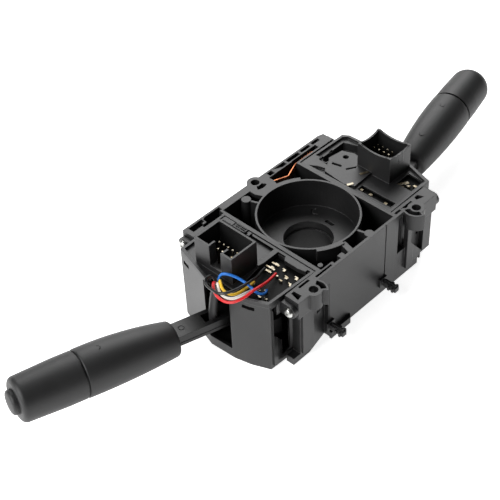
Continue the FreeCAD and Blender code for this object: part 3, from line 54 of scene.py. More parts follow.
log = logging.getLogger("stalk_switch")
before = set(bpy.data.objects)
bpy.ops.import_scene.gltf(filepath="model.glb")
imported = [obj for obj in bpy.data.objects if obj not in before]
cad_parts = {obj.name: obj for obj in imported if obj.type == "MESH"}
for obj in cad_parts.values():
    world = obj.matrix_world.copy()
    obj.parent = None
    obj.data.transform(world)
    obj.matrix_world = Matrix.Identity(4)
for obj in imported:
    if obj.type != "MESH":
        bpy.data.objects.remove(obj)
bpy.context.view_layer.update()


class Body(Enum):
    """The rigid bodies that the pieces made here ride on."""

    HOUSING = "housing"
    LEFT_YOKE = "left_yoke"
    LEFT_LEVER = "left_lever"
    HORN_BUTTON = "horn_button"
    RIGHT_LEVER = "right_lever"


# Helpers for node trees


class Graph:
    """A node tree that is built step by step."""

    def __init__(self, tree: NodeTree) -> None:
        """Takes up the tree."""
        self.tree = tree

    def feed(self, node: Node, **inputs: object) -> Node:
        """Sets or links a node's inputs by name.

        Args:
            node: A node of the tree.
            **inputs: A value or an output socket for each input, with _ for a space.

        Returns:
            The node.
        """
        for name, value in inputs.items():
            socket = node.inputs[name.replace("_", " ")]
            if isinstance(value, NodeSocket):
                self.tree.links.new(value, socket)
            else:
                socket.default_value = value
        return node

    def step(self, kind: str, **inputs: object) -> Node:
        """Adds a node of a kind and sets or links its inputs by name."""
        return self.feed(self.tree.nodes.new(kind), **inputs)

    def noise(self, place: NodeSocket, scale: float, detail: float) -> NodeSocket:
        """The factor of a noise texture, from 0 to 1."""
        return self.step("ShaderNodeTexNoise", Vector=place, Scale=scale, Detail=detail).outputs["Fac"]

    def between(self, factor: NodeSocket, low: float, high: float) -> NodeSocket:
        """A value that goes from low to high as the factor goes from 0 to 1."""
        return self.step("ShaderNodeMapRange", Value=factor, To_Min=low, To_Max=high).outputs["Result"]

    def two_tone(self, factor: NodeSocket, low: Stop, high: Stop) -> NodeSocket:
        """A ramp between two colours.

        Args:
            factor: The output that the ramp follows.
            low: Where the ramp starts, and its colour there.
            high: Where the ramp ends, and its colour there.

        Returns:
            The output with the colour.
        """
        ramp = self.step("ShaderNodeValToRGB", Fac=factor)
        for element, (position, colour) in zip(ramp.color_ramp.elements, (low, high)):
            element.position = position
            element.color = (*colour, 1)
        return ramp.outputs["Color"]


def blank_material(name: str) -> tuple[Material, Graph, Node]:
    """A new node material.

    Args:
        name: Its name.

    Returns:
        The material, its node tree and its shader.
    """
    made = bpy.data.materials.new(name)
    made.use_nodes = True
    return made, Graph(made.node_tree), made.node_tree.nodes["Principled BSDF"]


# Finishes


@dataclass(frozen=True)
class Plastic:
    """A moulded plastic with fine grain, slow colour drift and a painted highlight along its edges."""

    name: str
    colour: Point
    roughness: float = 0.42
    grain: float = 0.00003
    grain_size: float = 0.0006
    drift: float = 0.25
    # edge: how many times lighter the colour is painted on edges, a painted highlight
    edge: float = 1.6
    edge_radius: float = 0.00035
    specular: float = 0.5
    cloud_scale: float = 45.0
    uneven: float = 0.06
    stops: Flat = (0.3, 0.7)
    flat_match: float = 0.995
    edge_match: float = 0.8

    def tone(self, factor: float) -> Point:
        """The colour made darker or lighter."""
        return tuple(part * factor for part in self.colour)

    def painted_edge_highlight(self, graph: Graph, rounded: NodeSocket) -> NodeSocket:
        """How much lighter the colour is painted where an edge turns the rounded normal: a painted highlight.

        Args:
            graph: The material's node tree.
            rounded: The output with the rounded normal.

        Returns:
            The output with the factor.
        """
        surface = graph.step("ShaderNodeNewGeometry")
        match = graph.step("ShaderNodeVectorMath")
        match.operation = "DOT_PRODUCT"
        for normal, socket in zip((rounded, surface.outputs["Normal"]), match.inputs):
            graph.tree.links.new(normal, socket)
        span = {"From_Min": self.flat_match, "From_Max": self.edge_match, "To_Min": 1.0, "To_Max": self.edge}
        return graph.step("ShaderNodeMapRange", Value=match.outputs["Value"], **span).outputs["Result"]

    def material(self) -> Material:
        """Builds the node material.

        Returns:
            The material, ready for an object's slot.
        """
        made, graph, shader = blank_material(self.name)
        place = graph.step("ShaderNodeTexCoord").outputs["Object"]
        cloud = graph.noise(place, self.cloud_scale, 3.0)
        fine = graph.noise(place, 1.0 / self.grain_size, 2.0)
        round_edge = graph.step("ShaderNodeBevel", Radius=self.edge_radius)
        round_edge.samples = 4
        rounded = round_edge.outputs["Normal"]
        low, high = self.stops
        tones = graph.two_tone(cloud, (low, self.tone(1 - self.drift)), (high, self.tone(1 + self.drift)))
        # The colour is made lighter along edges: a painted highlight.
        edged = graph.step("ShaderNodeVectorMath", Vector=tones)
        edged.operation = "SCALE"
        graph.feed(edged, Scale=self.painted_edge_highlight(graph, rounded))
        bump = graph.step("ShaderNodeBump", Strength=1.0, Distance=self.grain, Height=fine, Normal=rounded)
        graph.feed(
            shader,
            Base_Color=edged.outputs["Vector"],
            Roughness=graph.between(cloud, self.roughness - self.uneven, self.roughness + self.uneven),
            Normal=bump.outputs["Normal"],
            Specular_IOR_Level=self.specular,
        )
        return made


@dataclass(frozen=True)
class Metal:
    """A worked metal with streaks along one axis and dull spots."""

    name: str
    colour: Point
    tarnish: Point
    roughness: float = 0.3
    streak: Point = (900.0, 900.0, 90.0)
    spot_scale: float = 380.0
    shine: float = 0.08
    dullness: float = 0.12
    scratch: float = 0.00002
    stops: Flat = (0.42, 0.6)

    def material(self) -> Material:
        """Builds the node material.

        Returns:
            The material, ready for an object's slot.
        """
        made, graph, shader = blank_material(self.name)
        place = graph.step("ShaderNodeTexCoord").outputs["Object"]
        stretch = graph.step("ShaderNodeMapping", Vector=place, Scale=self.streak).outputs["Vector"]
        lines = graph.noise(stretch, 1.0, 4.0)
        spots = graph.noise(place, self.spot_scale, 2.0)
        low, high = self.stops
        graph.feed(
            shader,
            Metallic=1.0,
            Base_Color=graph.two_tone(spots, (low, self.tarnish), (high, self.colour)),
            Roughness=graph.between(lines, self.roughness - self.shine, self.roughness + self.dullness),
            Normal=graph.step("ShaderNodeBump", Distance=self.scratch, Height=lines).outputs["Normal"],
        )
        return made


# edge sets how strongly each plastic's painted edge highlight lightens its colour.
HOUSING = Plastic("housing_black", (0.012, 0.012, 0.0123), roughness=0.44, edge=7.0, edge_radius=0.00045)
CASE = Plastic("case_black", (0.011, 0.011, 0.0113), roughness=0.40, edge=6.0)
LID = Plastic("lid_black", (0.012, 0.012, 0.0123), roughness=0.44, edge=7.0, edge_radius=0.00045)
GRIP = Plastic("grip_black", (0.012, 0.012, 0.0123), roughness=0.52, grain=0.00004, drift=0.12, edge=2.0)
ARM = Plastic("arm_black", (0.006, 0.006, 0.0062), roughness=0.38, edge=4.0, specular=0.36)
INNER = Plastic("inner_acetal", (0.009, 0.009, 0.0095), roughness=0.5, drift=0.1, edge=2.0, specular=0.3)
BOARD = Plastic("board_black", (0.003, 0.0033, 0.003), roughness=0.6, grain=0.00004, drift=0.3, specular=0.15)
VINYL = Plastic(
    "sleeve_vinyl", (0.022, 0.022, 0.023), roughness=0.5, grain=0.00008, grain_size=0.0011, drift=0.3
)
ZINC = Metal("zinc_plate", (0.60, 0.60, 0.58), (0.38, 0.38, 0.36), roughness=0.28)
SPRING = Metal("spring_steel", (0.55, 0.56, 0.58), (0.36, 0.36, 0.37), roughness=0.3)
BRASS = Metal("contact_brass", (0.83, 0.63, 0.30), (0.55, 0.38, 0.16), roughness=0.28)
COPPER = Metal("earth_copper", (0.55, 0.20, 0.09), (0.28, 0.10, 0.05), roughness=0.4)
TIN = Metal("tinned_metal", (0.32, 0.29, 0.23), (0.18, 0.15, 0.10), roughness=0.36)
WIRE_COLOURS = {
    name: Plastic(f"wire_{name}", colour, roughness=roughness, grain=0.00002, drift=drift, edge=1.0)
    for name, colour, roughness, drift in (
        ("blue", (0.014, 0.17, 0.62), 0.38, 0.1),
        ("yellow", (0.90, 0.56, 0.03), 0.38, 0.1),
        ("white", (0.82, 0.80, 0.74), 0.4, 0.05),
        ("red", (0.66, 0.008, 0.012), 0.38, 0.1),
        ("black", (0.006, 0.006, 0.006), 0.32, 0.1),
    )
}


@cache
def material_of(finish: Plastic | Metal) -> Material:
    """The one material that all pieces of a finish share."""
    return finish.material()


def paint(piece: Object, finish: Plastic | Metal) -> None:
    """Gives a piece one finish all over."""
    piece.data.materials.clear()
    piece.data.materials.append(material_of(finish))


# Helpers for pieces, meshes and Geometry Nodes


def metres(points: Iterable[Sequence[float]]) -> list[Vector]:
    """Points given in millimetres, as vectors in metres."""
    return [Vector(point) * MM for point in points]


def new_piece(name: str, mesh: Mesh) -> Object:
    """Links a mesh to the scene as a piece.

    Args:
        name: The piece's name.
        mesh: Its mesh, in the part's frame.

    Returns:
        The new object, at the origin.
    """
    piece = bpy.data.objects.new(name, mesh)
    bpy.context.scene.collection.objects.link(piece)
    return piece


def mesh_of(name: str, shape: BMesh, smooth: float = 35.0) -> Mesh:
    """Turns a bmesh into a mesh with outward normals and smooth shading up to an angle.

    Args:
        name: The mesh's name.
        shape: The bmesh, which is freed.
        smooth: The angle in degrees above which an edge stays sharp.

    Returns:
        The mesh.
    """
    bmesh.ops.remove_doubles(shape, verts=shape.verts, dist=WELD)
    bmesh.ops.recalc_face_normals(shape, faces=shape.faces)
    for face in shape.faces:
        face.smooth = True
    for edge in shape.edges:
        if len(edge.link_faces) == 2 and edge.calc_face_angle(0.0) > math.radians(smooth):
            edge.smooth = False
    mesh = bpy.data.meshes.new(name)
    shape.to_mesh(mesh)
    shape.free()
    return mesh


def loft(shape: BMesh, rings: Sequence[Sequence[BMVert]]) -> None:
    """Joins rings of vertices to a closed skin.

    Args:
        shape: The bmesh that holds the rings.
        rings: Rings of as many vertices each, or of one vertex at a pole.
    """
    for before, after in zip(rings, rings[1:]):
        sides = max(len(before), len(after))
        for step in range(sides):
            nxt = (step + 1) % sides
            corners = [before[step % len(before)], before[nxt % len(before)]]
            corners += [after[nxt % len(after)], after[step % len(after)]]
            unique = list(dict.fromkeys(corners))
            if len(unique) > 2:
                shape.faces.new(unique)
    for ring in (rings[0], rings[-1]):
        if len(ring) > 2:
            shape.faces.new(ring)


def circle(sides: int, offset: float = 0.0) -> list[Flat]:
    """The cosine and sine of each step round a circle.

    Args:
        sides: Steps round it.
        offset: The share of a step by which the first one is turned.

    Returns:
        The pairs in order.
    """
    turns = (2 * math.pi * (step + offset) / sides for step in range(sides))
    return [(math.cos(turn), math.sin(turn)) for turn in turns]


def lathe(profile: Sequence[Flat], sides: int) -> BMesh:
    """A shape turned about X.

    Args:
        profile: Pairs of (x, radius) in millimetres, from one end to the other.
        sides: Steps round the axis.

    Returns:
        A closed bmesh in metres.
    """
    shape = bmesh.new()
    rings = []
    for x, radius in profile:
        ways = circle(sides) if radius else circle(1)
        rings.append([shape.verts.new((x * MM, radius * y * MM, radius * z * MM)) for y, z in ways])
    loft(shape, rings)
    return shape


def prism(outline: Sequence[Flat], low: float, high: float) -> Mesh:
    """An upright prism.

    Args:
        outline: Its corners in millimetres, in order.
        low: The height of its underside in millimetres.
        high: The height of its top in millimetres.

    Returns:
        A closed mesh in metres.
    """
    shape = bmesh.new()
    loft(shape, [[shape.verts.new((x * MM, y * MM, z * MM)) for x, y in outline] for z in (low, high)])
    return mesh_of("prism", shape)


def box(x0: float, y0: float, z0: float, x1: float, y1: float, z1: float) -> Mesh:
    """A box between two corners in millimetres."""
    return prism(((x0, y0), (x0, y1), (x1, y1), (x1, y0)), z0, z1)


def side_prism(outline: Sequence[Flat], front: float, back: float) -> Mesh:
    """A prism that lies along Y.

    Args:
        outline: Its corners (x, z) in millimetres, in order.
        front: The Y of its front end in millimetres.
        back: The Y of its back end in millimetres.

    Returns:
        A closed mesh in metres.
    """
    mesh = prism(outline, -back, -front)
    mesh.transform(Matrix.Rotation(math.radians(90), 4, "X"))
    return mesh


def grown(outline: Sequence[Flat], by: float) -> list[Flat]:
    """An outline moved outwards by the same distance on every side.

    Args:
        outline: Its corners in millimetres, clockwise seen from above.
        by: The distance in millimetres.

    Returns:
        The new corners.
    """
    corners = [Vector(corner) for corner in outline]
    moved = []
    for before, here, after in zip(corners[-1:] + corners[:-1], corners, corners[1:] + corners[:1]):
        first, second = (here - before).normalized(), (after - here).normalized()
        outward = Vector((-first.y, first.x)) + Vector((-second.y, second.x))
        outward *= by / (1 + first.dot(second))
        moved.append(tuple(here + outward))
    return moved


def blocks(name: str, rows: Iterable[tuple[Point, Point, float]], rounding: float) -> Object:
    """A piece of blocks with softened edges.

    Args:
        name: The piece's name.
        rows: Each block's middle and size in millimetres, and its turn about Z in degrees.
        rounding: How far each edge is rounded, in millimetres.

    Returns:
        The piece.
    """
    shape = bmesh.new()
    for middle, size, turn in rows:
        made = bmesh.ops.create_cube(shape, size=1.0)["verts"]
        for vertex in made:
            vertex.co = vertex.co * Vector(size) * MM
        bmesh.ops.rotate(shape, verts=made, matrix=Matrix.Rotation(math.radians(turn), 3, "Z"))
        bmesh.ops.translate(shape, verts=made, vec=Vector(middle) * MM)
    bmesh.ops.bevel(shape, geom=shape.edges[:], offset=rounding * MM, segments=2, affect="EDGES")
    return new_piece(name, mesh_of(name, shape, CRISP))


def baked(piece: Object) -> Mesh:
    """The plain mesh that a piece's modifiers, or a curve's bevel, make.

    Args:
        piece: A mesh or a curve object.

    Returns:
        A new mesh.
    """
    bpy.context.view_layer.update()
    ready = piece.evaluated_get(bpy.context.evaluated_depsgraph_get())
    return bpy.data.meshes.new_from_object(ready)


def subtract(piece: Object, tools: Iterable[Mesh]) -> None:
    """Cuts meshes out of a piece and keeps the result as its plain mesh.

    Args:
        piece: The piece to cut.
        tools: Closed meshes, each used once.
    """
    for tool in tools:
        cutter = new_piece("cutter", tool)
        modifier = piece.modifiers.new("cut", "BOOLEAN")
        modifier.object = cutter
        modifier.solver = "EXACT"
        result = baked(piece)
        piece.modifiers.remove(modifier)
        piece.data = result
        bpy.data.objects.remove(cutter)


def absorb(piece: Object, parts: Iterable[Object]) -> None:
    """Adds other pieces' meshes to a piece, with every face flat, and removes them.

    Args:
        piece: The piece that grows.
        parts: The pieces that it takes up.
    """
    shape = bmesh.new()
    shape.from_mesh(piece.data)
    for part in parts:
        shape.from_mesh(part.data)
        bpy.data.objects.remove(part)
    for face in shape.faces:
        face.smooth = False
    shape.to_mesh(piece.data)
    shape.free()


def copy_of_node(name: str, node: str) -> Object:
    """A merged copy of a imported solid, to be carved.

    Args:
        name: The new piece's name.
        node: The node to copy.

    Returns:
        The new piece.
    """
    shape = bmesh.new()
    shape.from_mesh(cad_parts[node].data)
    return new_piece(name, mesh_of(name, shape))


def fit(piece: Object, finish: Plastic | Metal, body: Body, slot: str, *nodes: str) -> None:
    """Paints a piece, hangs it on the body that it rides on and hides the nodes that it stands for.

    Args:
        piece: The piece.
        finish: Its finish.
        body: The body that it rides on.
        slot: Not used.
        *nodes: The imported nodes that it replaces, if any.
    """
    paint(piece, finish)
    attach(piece, body.value)
    if nodes:
        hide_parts(*nodes)
    log.info("%s rides on %s in %s", piece.name, body.value, finish.name)


class Recipe(Graph):
    """A Geometry Nodes tree with named inputs, run once on a carrier mesh."""

    def __init__(self, name: str) -> None:
        """Starts a tree with one geometry input and one geometry output.

        Args:
            name: The tree's name.
        """
        super().__init__(bpy.data.node_groups.new(name, "GeometryNodeTree"))
        for way in ("INPUT", "OUTPUT"):
            self.tree.interface.new_socket("Geometry", in_out=way, socket_type="NodeSocketGeometry")
        self.identifiers: dict[str, str] = {}
        self.source = self.tree.nodes.new("NodeGroupInput")
        self.sink = self.tree.nodes.new("NodeGroupOutput")

    def ask(self, name: str, kind: str) -> NodeSocket:
        """Adds a named input.

        Args:
            name: The input's name.
            kind: The socket type, such as NodeSocketFloat.

        Returns:
            The output of the group's input node that carries it.
        """
        made = self.tree.interface.new_socket(name, in_out="INPUT", socket_type=kind)
        self.identifiers[name] = made.identifier
        return self.source.outputs[name]

    def scatter(self, material: Material, **inputs: object) -> None:
        """Sets an instance on each vertex and ends in Realize Instances and Set Material.

        Args:
            material: The material of all of it.
            **inputs: What Instance on Points takes beside its points.
        """
        placed = self.step("GeometryNodeInstanceOnPoints", Points=self.source.outputs["Geometry"], **inputs)
        real = self.step("GeometryNodeRealizeInstances", Geometry=placed.outputs[0])
        dressed = self.step("GeometryNodeSetMaterial", Geometry=real.outputs[0], Material=material)
        self.tree.links.new(dressed.outputs[0], self.sink.inputs[0])

    def bake(self, name: str, places: Iterable[Point], values: dict[str, object]) -> Object:
        """Runs the tree on loose vertices and keeps the result as a plain mesh.

        Args:
            name: The piece's name.
            places: Where the vertices lie, in millimetres.
            values: A value for each named input.

        Returns:
            The piece, with no modifier left.
        """
        carrier = bpy.data.meshes.new(name)
        carrier.from_pydata([tuple(place) for place in metres(places)], [], [])
        piece = new_piece(name, carrier)
        modifier = piece.modifiers.new("recipe", "NODES")
        modifier.node_group = self.tree
        for key, value in values.items():
            modifier[self.identifiers[key]] = value
        result = baked(piece)
        piece.modifiers.remove(modifier)
        piece.data = result
        return piece


# Sub-assemblies


@dataclass
class CadDress:
    """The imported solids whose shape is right, each with its finish."""

    finishes: dict[str, Plastic | Metal] = field(
        default_factory=lambda: {
            "column_housing": HOUSING, "cancel_ring": INNER, "ring_circlip": SPRING, "cancel_pawl": INNER,
            "earth_strip": COPPER, "trim_clips": LID, "horn_button": GRIP, "horn_contact": BRASS,
            "wire_sleeve": VINYL,
        }
    )
    per_side: dict[str, Plastic | Metal] = field(
        default_factory=lambda: {
            "switch_case": CASE, "switch_lid": LID, "contact_board": BOARD, "connector_pins": TIN,
            "solder_tabs": TIN, "case_screws": ZINC, "yoke": INNER, "lever_pin": SPRING,
            "contact_wiper": BRASS, "detent_plunger": ZINC, "detent_spring": SPRING,
            "detent_plate": INNER, "lever_arm": ARM, "return_spring": SPRING, "grip_sleeve": GRIP,
            "knob": GRIP,
        }
    )

    def dress(self) -> None:
        """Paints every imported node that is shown."""
        for side in ("left", "right"):
            for name, finish in self.per_side.items():
                self.finishes[f"{side}_{name}"] = finish
        for name, finish in self.finishes.items():
            paint(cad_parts[name], finish)
            log.info("dressed %s with %s", name, finish.name)


@dataclass
class WireLoom:
    """Five thin wires from the sleeve on the left lever to the left contact board."""

    diameter: float = 1.7
    mouth: Point = (-77.7, -0.3, 53.8)
    ring: float = 1.58
    still: Point = (-80.5, -12.0, 55.5)
    smooth: float = 50.0
    steps: int = 8
    round_steps: int = 4
    starts: dict[str, float] = field(
        default_factory=lambda: {"blue": 10.0, "yellow": 298.0, "white": 226.0, "red": 154.0, "black": 82.0}
    )
    routes: dict[str, tuple[Point, ...]] = field(
        default_factory=lambda: {
            "blue": (
                (-76.0, -0.9, 57.2), (-75.9, -2.6, 60.0), (-75.2, -5.2, 61.6), (-73.4, -8.3, 61.0),
                (-71.7, -11.6, 59.6), (-70.6, -15.2, 58.2), (-70.0, -19.7, 56.6), (-70.1, -23.2, 55.0),
                (-68.4, -25.9, 53.9), (-65.4, -26.4, 52.6), (-62.6, -24.4, 51.75),
            ),
            "yellow": (
                (-77.2, -2.4, 56.6), (-79.4, -5.0, 58.0), (-81.7, -8.3, 56.9), (-82.2, -12.2, 56.0),
                (-80.6, -15.7, 55.7), (-77.4, -17.0, 55.7), (-73.0, -17.0, 55.0), (-68.2, -16.2, 53.4),
                (-62.6, -14.6, 51.75),
            ),
            "white": (
                (-79.3, -2.6, 55.4), (-81.2, -5.0, 55.9), (-83.4, -8.0, 55.0), (-84.2, -11.8, 54.6),
                (-83.2, -15.8, 54.7), (-80.4, -18.5, 55.2), (-76.0, -19.4, 55.3), (-71.0, -19.6, 54.0),
                (-64.6, -20.3, 51.75),
            ),
            "red": (
                (-80.2, -0.1, 55.2), (-82.8, -2.4, 55.6), (-85.2, -5.8, 54.4), (-86.2, -9.8, 53.8),
                (-86.2, -14.4, 53.8), (-84.9, -18.6, 54.8), (-82.0, -21.6, 56.2), (-78.0, -23.2, 57.4),
                (-73.2, -23.9, 58.6), (-67.8, -23.9, 58.0), (-61.6, -22.9, 55.6), (-55.6, -21.2, 53.4),
                (-49.3, -19.3, 51.75),
            ),
            "black": (
                (-77.8, 2.2, 56.4), (-79.6, 3.2, 58.0), (-82.4, 3.6, 57.4), (-84.6, 2.0, 56.2),
                (-85.8, -1.6, 56.4), (-86.6, -6.2, 57.6), (-87.5, -10.6, 58.6), (-85.5, -14.8, 60.0),
                (-81.4, -17.5, 60.8), (-75.7, -18.6, 60.8), (-68.8, -18.4, 59.6), (-61.6, -16.4, 56.4),
                (-55.0, -12.9, 53.2), (-50.2, -11.4, 51.75),
            ),
        }
    )

    def line(self, colour: str) -> Object:
        """The smooth centreline of a wire.

        Args:
            colour: The wire's colour.

        Returns:
            A curve object of one NURBS spline, with no thickness.
        """
        turn = math.radians(self.starts[colour])
        x, y, z = self.mouth
        first = (x + self.ring * math.cos(turn), y + self.ring * math.sin(turn), z)
        points = metres((first, *self.routes[colour]))
        curve = bpy.data.curves.new(f"line_{colour}", "CURVE")
        curve.dimensions = "3D"
        curve.resolution_u = self.steps
        spline = curve.splines.new("NURBS")
        spline.points.add(len(points) - 1)
        for control, point in zip(spline.points, points):
            control.co = (*point, 1)
        spline.order_u = 3
        spline.use_endpoint_u = True
        return new_piece(f"line_{colour}", curve)

    def build(self) -> None:
        """Makes each wire as a mesh tube along its own spline."""
        for colour, finish in WIRE_COLOURS.items():
            line = self.line(colour)
            centre = baked(line)
            line.data.bevel_depth = self.diameter / 2 * MM
            line.data.bevel_resolution = self.round_steps
            line.data.use_fill_caps = True
            tube = baked(line)
            shape = bmesh.new()
            shape.from_mesh(tube)
            bpy.data.objects.remove(line)
            for spent in (centre, tube):
                bpy.data.meshes.remove(spent)
            name = f"jumper_{colour}"
            piece = new_piece(name, mesh_of(name, shape, self.smooth))
            paint(piece, finish)
            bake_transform(piece)
            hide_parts(f"wire_{colour}")


@dataclass
class CaseScrews:
    """Pan-head screws with a cross recess, two for each switch case."""

    head_radius: float = 3.0
    head_height: float = 2.2
    head_rim: float = 0.7
    crown: float = 0.42
    shank: float = 10.0
    shank_radius: float = 1.4
    tip_radius: float = 0.7
    point: float = 1.0
    neck: float = 0.2
    undercut: float = 0.1
    sides: int = 28
    crown_steps: int = 6
    threads: int = 9
    thread_depth: float = 0.28
    thread_rise: float = 0.45
    thread_flat: float = 0.15
    recess: Point = (2.4, 3.7, 0.85)
    recess_taper: float = 0.45
    recess_middle: float = 0.15
    twist: float = 0.4
    reach: float = 42.3
    height: float = 46.8
    seats: tuple[tuple[str, float, float], ...] = (("left", -63.4, math.pi), ("right", 67.5, 0.0))

    def profile(self) -> list[Flat]:
        """The screw's outline.

        Returns:
            Pairs of (x, radius) in millimetres, from the tip to the middle of the head.
        """
        outer, radius, rim = self.shank_radius, self.head_radius, self.head_rim
        profile = [(-self.shank, 0.0), (-self.shank, self.tip_radius)]
        for turn in range(self.threads):
            x = -self.shank + self.point + turn * (self.shank - self.point - self.neck) / self.threads
            crest = x + self.thread_rise
            profile += [(x, outer - self.thread_depth), (crest, outer), (crest + self.thread_flat, outer)]
        profile += [(0.0, outer - self.undercut), (0.0, radius), (rim, radius)]
        for step in range(1, self.crown_steps):
            bend = math.pi / 2 * step / self.crown_steps
            across = self.crown + (1 - self.crown) * math.cos(bend)
            profile.append((rim + (self.head_height - rim) * math.sin(bend), radius * across))
        return [*profile, (self.head_height, radius * self.crown), (self.head_height, 0.0)]

    def slot(self, turn: float) -> Mesh:
        """One of the two slots that make the cross.

        Args:
            turn: How far it is turned about the screw's axis, in degrees.

        Returns:
            A closed mesh to cut with, narrower at its foot.
        """
        cutter = bmesh.new()
        bmesh.ops.create_cube(cutter, size=1.0)
        for vertex in cutter.verts:
            taper = 1.0 if vertex.co.x > 0 else self.recess_taper
            vertex.co = vertex.co * Vector(self.recess) * Vector((1.0, taper, taper)) * MM
            vertex.co.x += (self.head_height + self.recess_middle) * MM
        bmesh.ops.rotate(cutter, verts=cutter.verts, matrix=Matrix.Rotation(math.radians(turn), 3, "X"))
        return mesh_of("recess", cutter)

    def screw(self) -> Mesh:
        """One screw along X with its head towards +X and its seat at the origin.

        Returns:
            Its mesh.
        """
        blank = new_piece("screw_blank", mesh_of("screw_body", lathe(self.profile(), self.sides)))
        subtract(blank, [self.slot(0), self.slot(90)])
        shape = bmesh.new()
        shape.from_mesh(blank.data)
        bpy.data.objects.remove(blank)
        return mesh_of("case_screw", shape, CRISP)

    def build(self) -> None:
        """Sets two screws on each case with one recipe."""
        helper = new_piece("screw_pattern", self.screw())
        recipe = Recipe("screw_row")
        pattern = recipe.ask("Screw", "NodeSocketObject")
        turn = recipe.ask("Turn", "NodeSocketVector")
        info = recipe.step("GeometryNodeObjectInfo", Object=pattern)
        recipe.scatter(material_of(ZINC), Instance=info.outputs["Geometry"], Rotation=turn)
        for side, seat, yaw in self.seats:
            places = [(seat, sign * self.reach, self.height) for sign in (-1, 1)]
            values = {"Screw": helper, "Turn": (self.twist, 0.0, yaw)}
            piece = recipe.bake(f"{side}_pan_screws", places, values)
            fit(piece, ZINC, Body.HOUSING, "plated_steel", f"{side}_case_screws")
        bpy.data.objects.remove(helper)


@dataclass(frozen=True)
class Lever:
    """Where a lever stands and what it carries."""

    side: str
    yaw: float
    rise: float
    pivot: Point
    body: Body

    def place(self) -> Matrix:
        """The lever's own frame, with X along its axis.

        Returns:
            The matrix from that frame to the part's.
        """
        turn, lift = math.radians(self.yaw), math.radians(-self.rise)
        way = Matrix.Rotation(turn, 4, "Z") @ Matrix.Rotation(lift, 4, "Y")
        return Matrix.Translation(Vector(self.pivot) * MM) @ way


LEVERS = (
    Lever("left", 166.5, 4.4, (-52.0, -3.94, 22.13), Body.LEFT_LEVER),
    Lever("right", 10.2, 3.8, (52.0, -3.94, 22.13), Body.RIGHT_LEVER),
)


